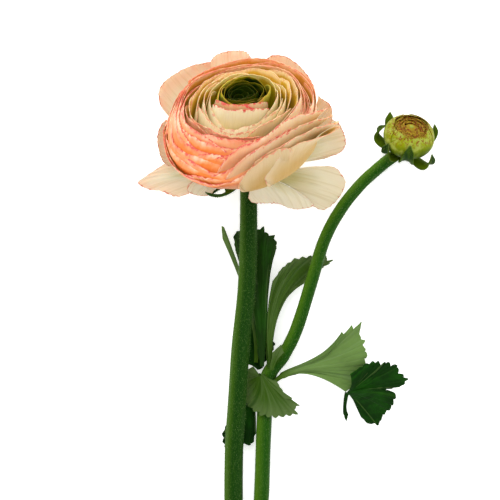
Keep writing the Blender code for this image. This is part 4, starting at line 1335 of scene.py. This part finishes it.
class RANUNCULUS_OT_sepals(bpy.types.Operator):
    """Make the green sepals under the bloom and the receptacle that holds its petals"""

    bl_idname = "ranunculus.sepals"
    bl_label = "Sepals"

    def execute(self, context):
        finish = sepal_finish("sepals", context.scene.ranunculus_bud)
        right, back, _ = frame_on(BLOOM_AXIS)
        for index, (name, (degrees, first, second, tip, tip_lie)) in enumerate(SEPALS.items()):
            angle = math.radians(degrees)
            start = in_frame(BLOOM_BASE, BLOOM_AXIS, SEPAL_FOOT[0], angle, SEPAL_FOOT[1])
            foot_lie = unit(-math.sin(angle) * right + math.cos(angle) * back)
            lie = (foot_lie, unit(tip_lie))
            points = strap_points(start, first, second, tip, lie, half_width=1.5, cup=0.5)
            joined("curled_" + name, hairy_blade(points, SEPAL_WALL, index), finish, [name])
        joined("receptacle_skin", [receptacle()], finish, ["receptacle"])
        return {"FINISHED"}


class RANUNCULUS_OT_stems(bpy.types.Operator):
    """Make the main stem and the side shoot, with their fine hairs"""

    bl_idname = "ranunculus.stems"
    bl_label = "Stems"

    def execute(self, context):
        stem = context.scene.ranunculus_stem
        dark = stem_finish("main stem", stem, 1.0)
        light = stem_finish("side shoot", stem, 1.6)
        main_stem = hairy_stem(STEM_PATH, STEM_RADII, stem, seed=1, ribs=9)
        joined("stem_main_skin", main_stem, dark, ["stem_main"])
        side_shoot = hairy_stem(SHOOT_PATH, SHOOT_RADII, stem, seed=2, ribs=7)
        joined("stem_side_skin", side_shoot, light, ["stem_side"])
        return {"FINISHED"}


class RANUNCULUS_OT_leaves(bpy.types.Operator):
    """Make the leaves at the node of the side shoot"""

    bl_idname = "ranunculus.leaves"
    bl_label = "Leaves"

    def execute(self, context):
        leaf = context.scene.ranunculus_leaf
        dark = leaf_finish("leaf upper side", leaf, False)
        pale = leaf_finish("leaf underside", leaf, True)
        for index, name in enumerate(LEAVES):
            points = leaf_points(name)
            rows, columns = points.shape[:2]
            spot, edge = blade_places(points, 4.9 * index)
            side, up = np.linspace(0, 1, columns)[None, :], np.linspace(0, 1, rows)
            fan = np.stack(np.broadcast_arrays(side, up[:, None], LEAF_TONES.get(name, 0.0)), axis=2)
            wall = np.clip(1 - 1.5 * up, leaf.thickness / MM / LEAF_FOOT, 1)
            part = sheet(points, LEAF_FOOT, {"spot": spot, "edge": edge, "fan": fan}, wall)
            joined("veined_" + name, [part], pale if name in LEAVES_TURNED else dark, [name])
        return {"FINISHED"}


class RANUNCULUS_OT_bud(bpy.types.Operator):
    """Make the bud: its closed petals, its core and its sepals"""

    bl_idname = "ranunculus.bud"
    bl_label = "Bud"

    def execute(self, context):
        bud = context.scene.ranunculus_bud
        finish = bud_finish("bud petals", bud)
        green = sepal_finish("bud sepals", bud)
        for index in range(3):
            parts = []
            for layer in range(2):
                points = bud_shell(
                    degrees=30 + 120 * index + 58 * layer, half=62, radius=BUD_RADIUS - 0.3 * layer, low=20,
                    high=137 + 3 * layer, mesh_grid=BUD_OUTER_GRID, seed=10 * index + layer)
                spot, edge = blade_places(points, 3.1 * index + layer)
                parts.append(sheet(points, BUD_OUTER_WALL, {"spot": spot, "edge": edge, "core": 0 * edge}))
            joined(f"bud_outer_petal_{index + 1}", parts, finish, [f"bud_petal_{index + 1}"])
        parts = []
        for index, share in enumerate(np.linspace(0, 1, bud.inner_petals)):
            points = bud_shell(
                degrees=index * GOLDEN_ANGLE, half=lerp((60, 80), share), radius=lerp((8.5, 6.9), share),
                low=lerp((60, 90), share), high=lerp((141, 168), share), mesh_grid=BUD_INNER_GRID,
                seed=40 + index, ragged=lerp((2.2, 0.6), share))
            spot, edge = blade_places(points, 9 + index)
            core = np.full_like(edge, 0.3 + 0.7 * share)
            parts.append(sheet(points, BUD_INNER_WALL, {"spot": spot, "edge": edge, "core": core}))
        parts.append(bud_ball(radius=3.6, height=8.3, core=1.0))
        parts.append(bud_ball(radius=0.8, height=11.5, core=0.0))
        joined("bud_inner_petals", parts, finish, ["bud_core"])
        right, back, _ = frame_on(BUD_AXIS)
        for index, (name, (degrees, middle, tip, half_width)) in enumerate(BUD_SEPALS.items()):
            angle = math.radians(degrees)
            spots = (*BUD_SEPAL_FOOT, middle, tip)
            start, first, second, end = (in_frame(BUD_BASE, BUD_AXIS, r, angle, h) for r, h in spots)
            across = unit(-math.sin(angle) * right + math.cos(angle) * back)
            points = strap_points(start, first, second, end, (across, across), half_width, cup=-0.5)
            joined("fuzzy_" + name, hairy_blade(points, BUD_SEPAL_WALL, 20 + index), green, [name])
        return {"FINISHED"}


class RANUNCULUS_OT_stage(bpy.types.Operator):
    """Make the floor, the soft lights and the camera"""

    bl_idname = "ranunculus.stage"
    bl_label = "Stage"

    def execute(self, context):
        stage = context.scene.ranunculus_stage
        white = colour((1.0, 1.0, 1.0))
        deselect()
        bpy.ops.mesh.primitive_plane_add(size=6, location=(0, 0, FLOOR_HEIGHT))
        floor = context.object
        floor.name = "floor"
        finish = Finish("floor")
        finish.set(
            Base_Color=colour(stage.floor), Roughness=0.9, Specular_IOR_Level=0.1, Emission_Color=white,
            Emission_Strength=0.55)
        floor.data.materials.append(finish.material)

        world = bpy.data.worlds.new("studio")
        context.scene.world = world
        world.use_nodes = True
        sky = world.node_tree.nodes["Background"].inputs
        sky["Color"].default_value = white
        sky["Strength"].default_value = stage.sky

        self.light("key", spot=(-0.25, 0.75, 0.8), size=0.7, power=stage.key)
        self.light("fill", spot=(0.7, 0.1, 0.8), size=0.8, power=stage.fill)

        camera_data = bpy.data.cameras.new("camera")
        camera = bpy.data.objects.new("camera", camera_data)
        context.scene.collection.objects.link(camera)
        aim = place(VIEW_MIDDLE)
        camera.location = (aim[0], aim[1], CAMERA_HEIGHT)
        camera_data.lens = camera_data.sensor_width * CAMERA_HEIGHT / stage.view_width
        context.scene.camera = camera
        context.scene.view_settings.view_transform = "Standard"
        return {"FINISHED"}

    def light(self, name, spot, size, power):
        """A square soft light that faces the flower."""
        data = bpy.data.lights.new(name, "AREA")
        data.size = size
        data.energy = power
        lamp = bpy.data.objects.new(name, data)
        bpy.context.scene.collection.objects.link(lamp)
        lamp.location = spot
        away = (np.array(spot) - place((0, 0, 0))).tolist()
        lamp.rotation_euler = Vector(away).to_track_quat("Z", "Y").to_euler()
        lamp.visible_camera = False


class RANUNCULUS_PT_panel(bpy.types.Panel):
    """The flower's settings and steps"""

    bl_idname = "RANUNCULUS_PT_panel"
    bl_label = "Ranunculus"
    bl_space_type = "VIEW_3D"
    bl_region_type = "UI"
    bl_category = "Ranunculus"

    def draw(self, context):
        for group in SETTINGS:
            box = self.layout.box()
            settings = getattr(context.scene, "ranunculus_" + group)
            for name in SETTINGS[group].__annotations__:
                box.prop(settings, name)
        for step in STEPS:
            self.layout.operator(step.bl_idname)


SETTINGS = {
    "bloom": BloomSettings,
    "stem": StemSettings,
    "leaf": LeafSettings,
    "bud": BudSettings,
    "stage": StageSettings,
}
STEPS = (
    RANUNCULUS_OT_heart,
    RANUNCULUS_OT_nest,
    RANUNCULUS_OT_guards,
    RANUNCULUS_OT_sepals,
    RANUNCULUS_OT_stems,
    RANUNCULUS_OT_leaves,
    RANUNCULUS_OT_bud,
    RANUNCULUS_OT_stage,
)


def register():
    for kind in (*SETTINGS.values(), *STEPS, RANUNCULUS_PT_panel):
        bpy.utils.register_class(kind)
    for name, kind in SETTINGS.items():
        setattr(bpy.types.Scene, "ranunculus_" + name, PointerProperty(type=kind))


def unregister():
    for name in SETTINGS:
        delattr(bpy.types.Scene, "ranunculus_" + name)
    for kind in (RANUNCULUS_PT_panel, *STEPS, *SETTINGS.values()):
        bpy.utils.unregister_class(kind)


def main():
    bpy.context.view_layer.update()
    register()
    for step in STEPS:
        getattr(bpy.ops.ranunculus, step.bl_idname.split(".")[1])()
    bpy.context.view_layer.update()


if __name__ == "__main__":
    main()
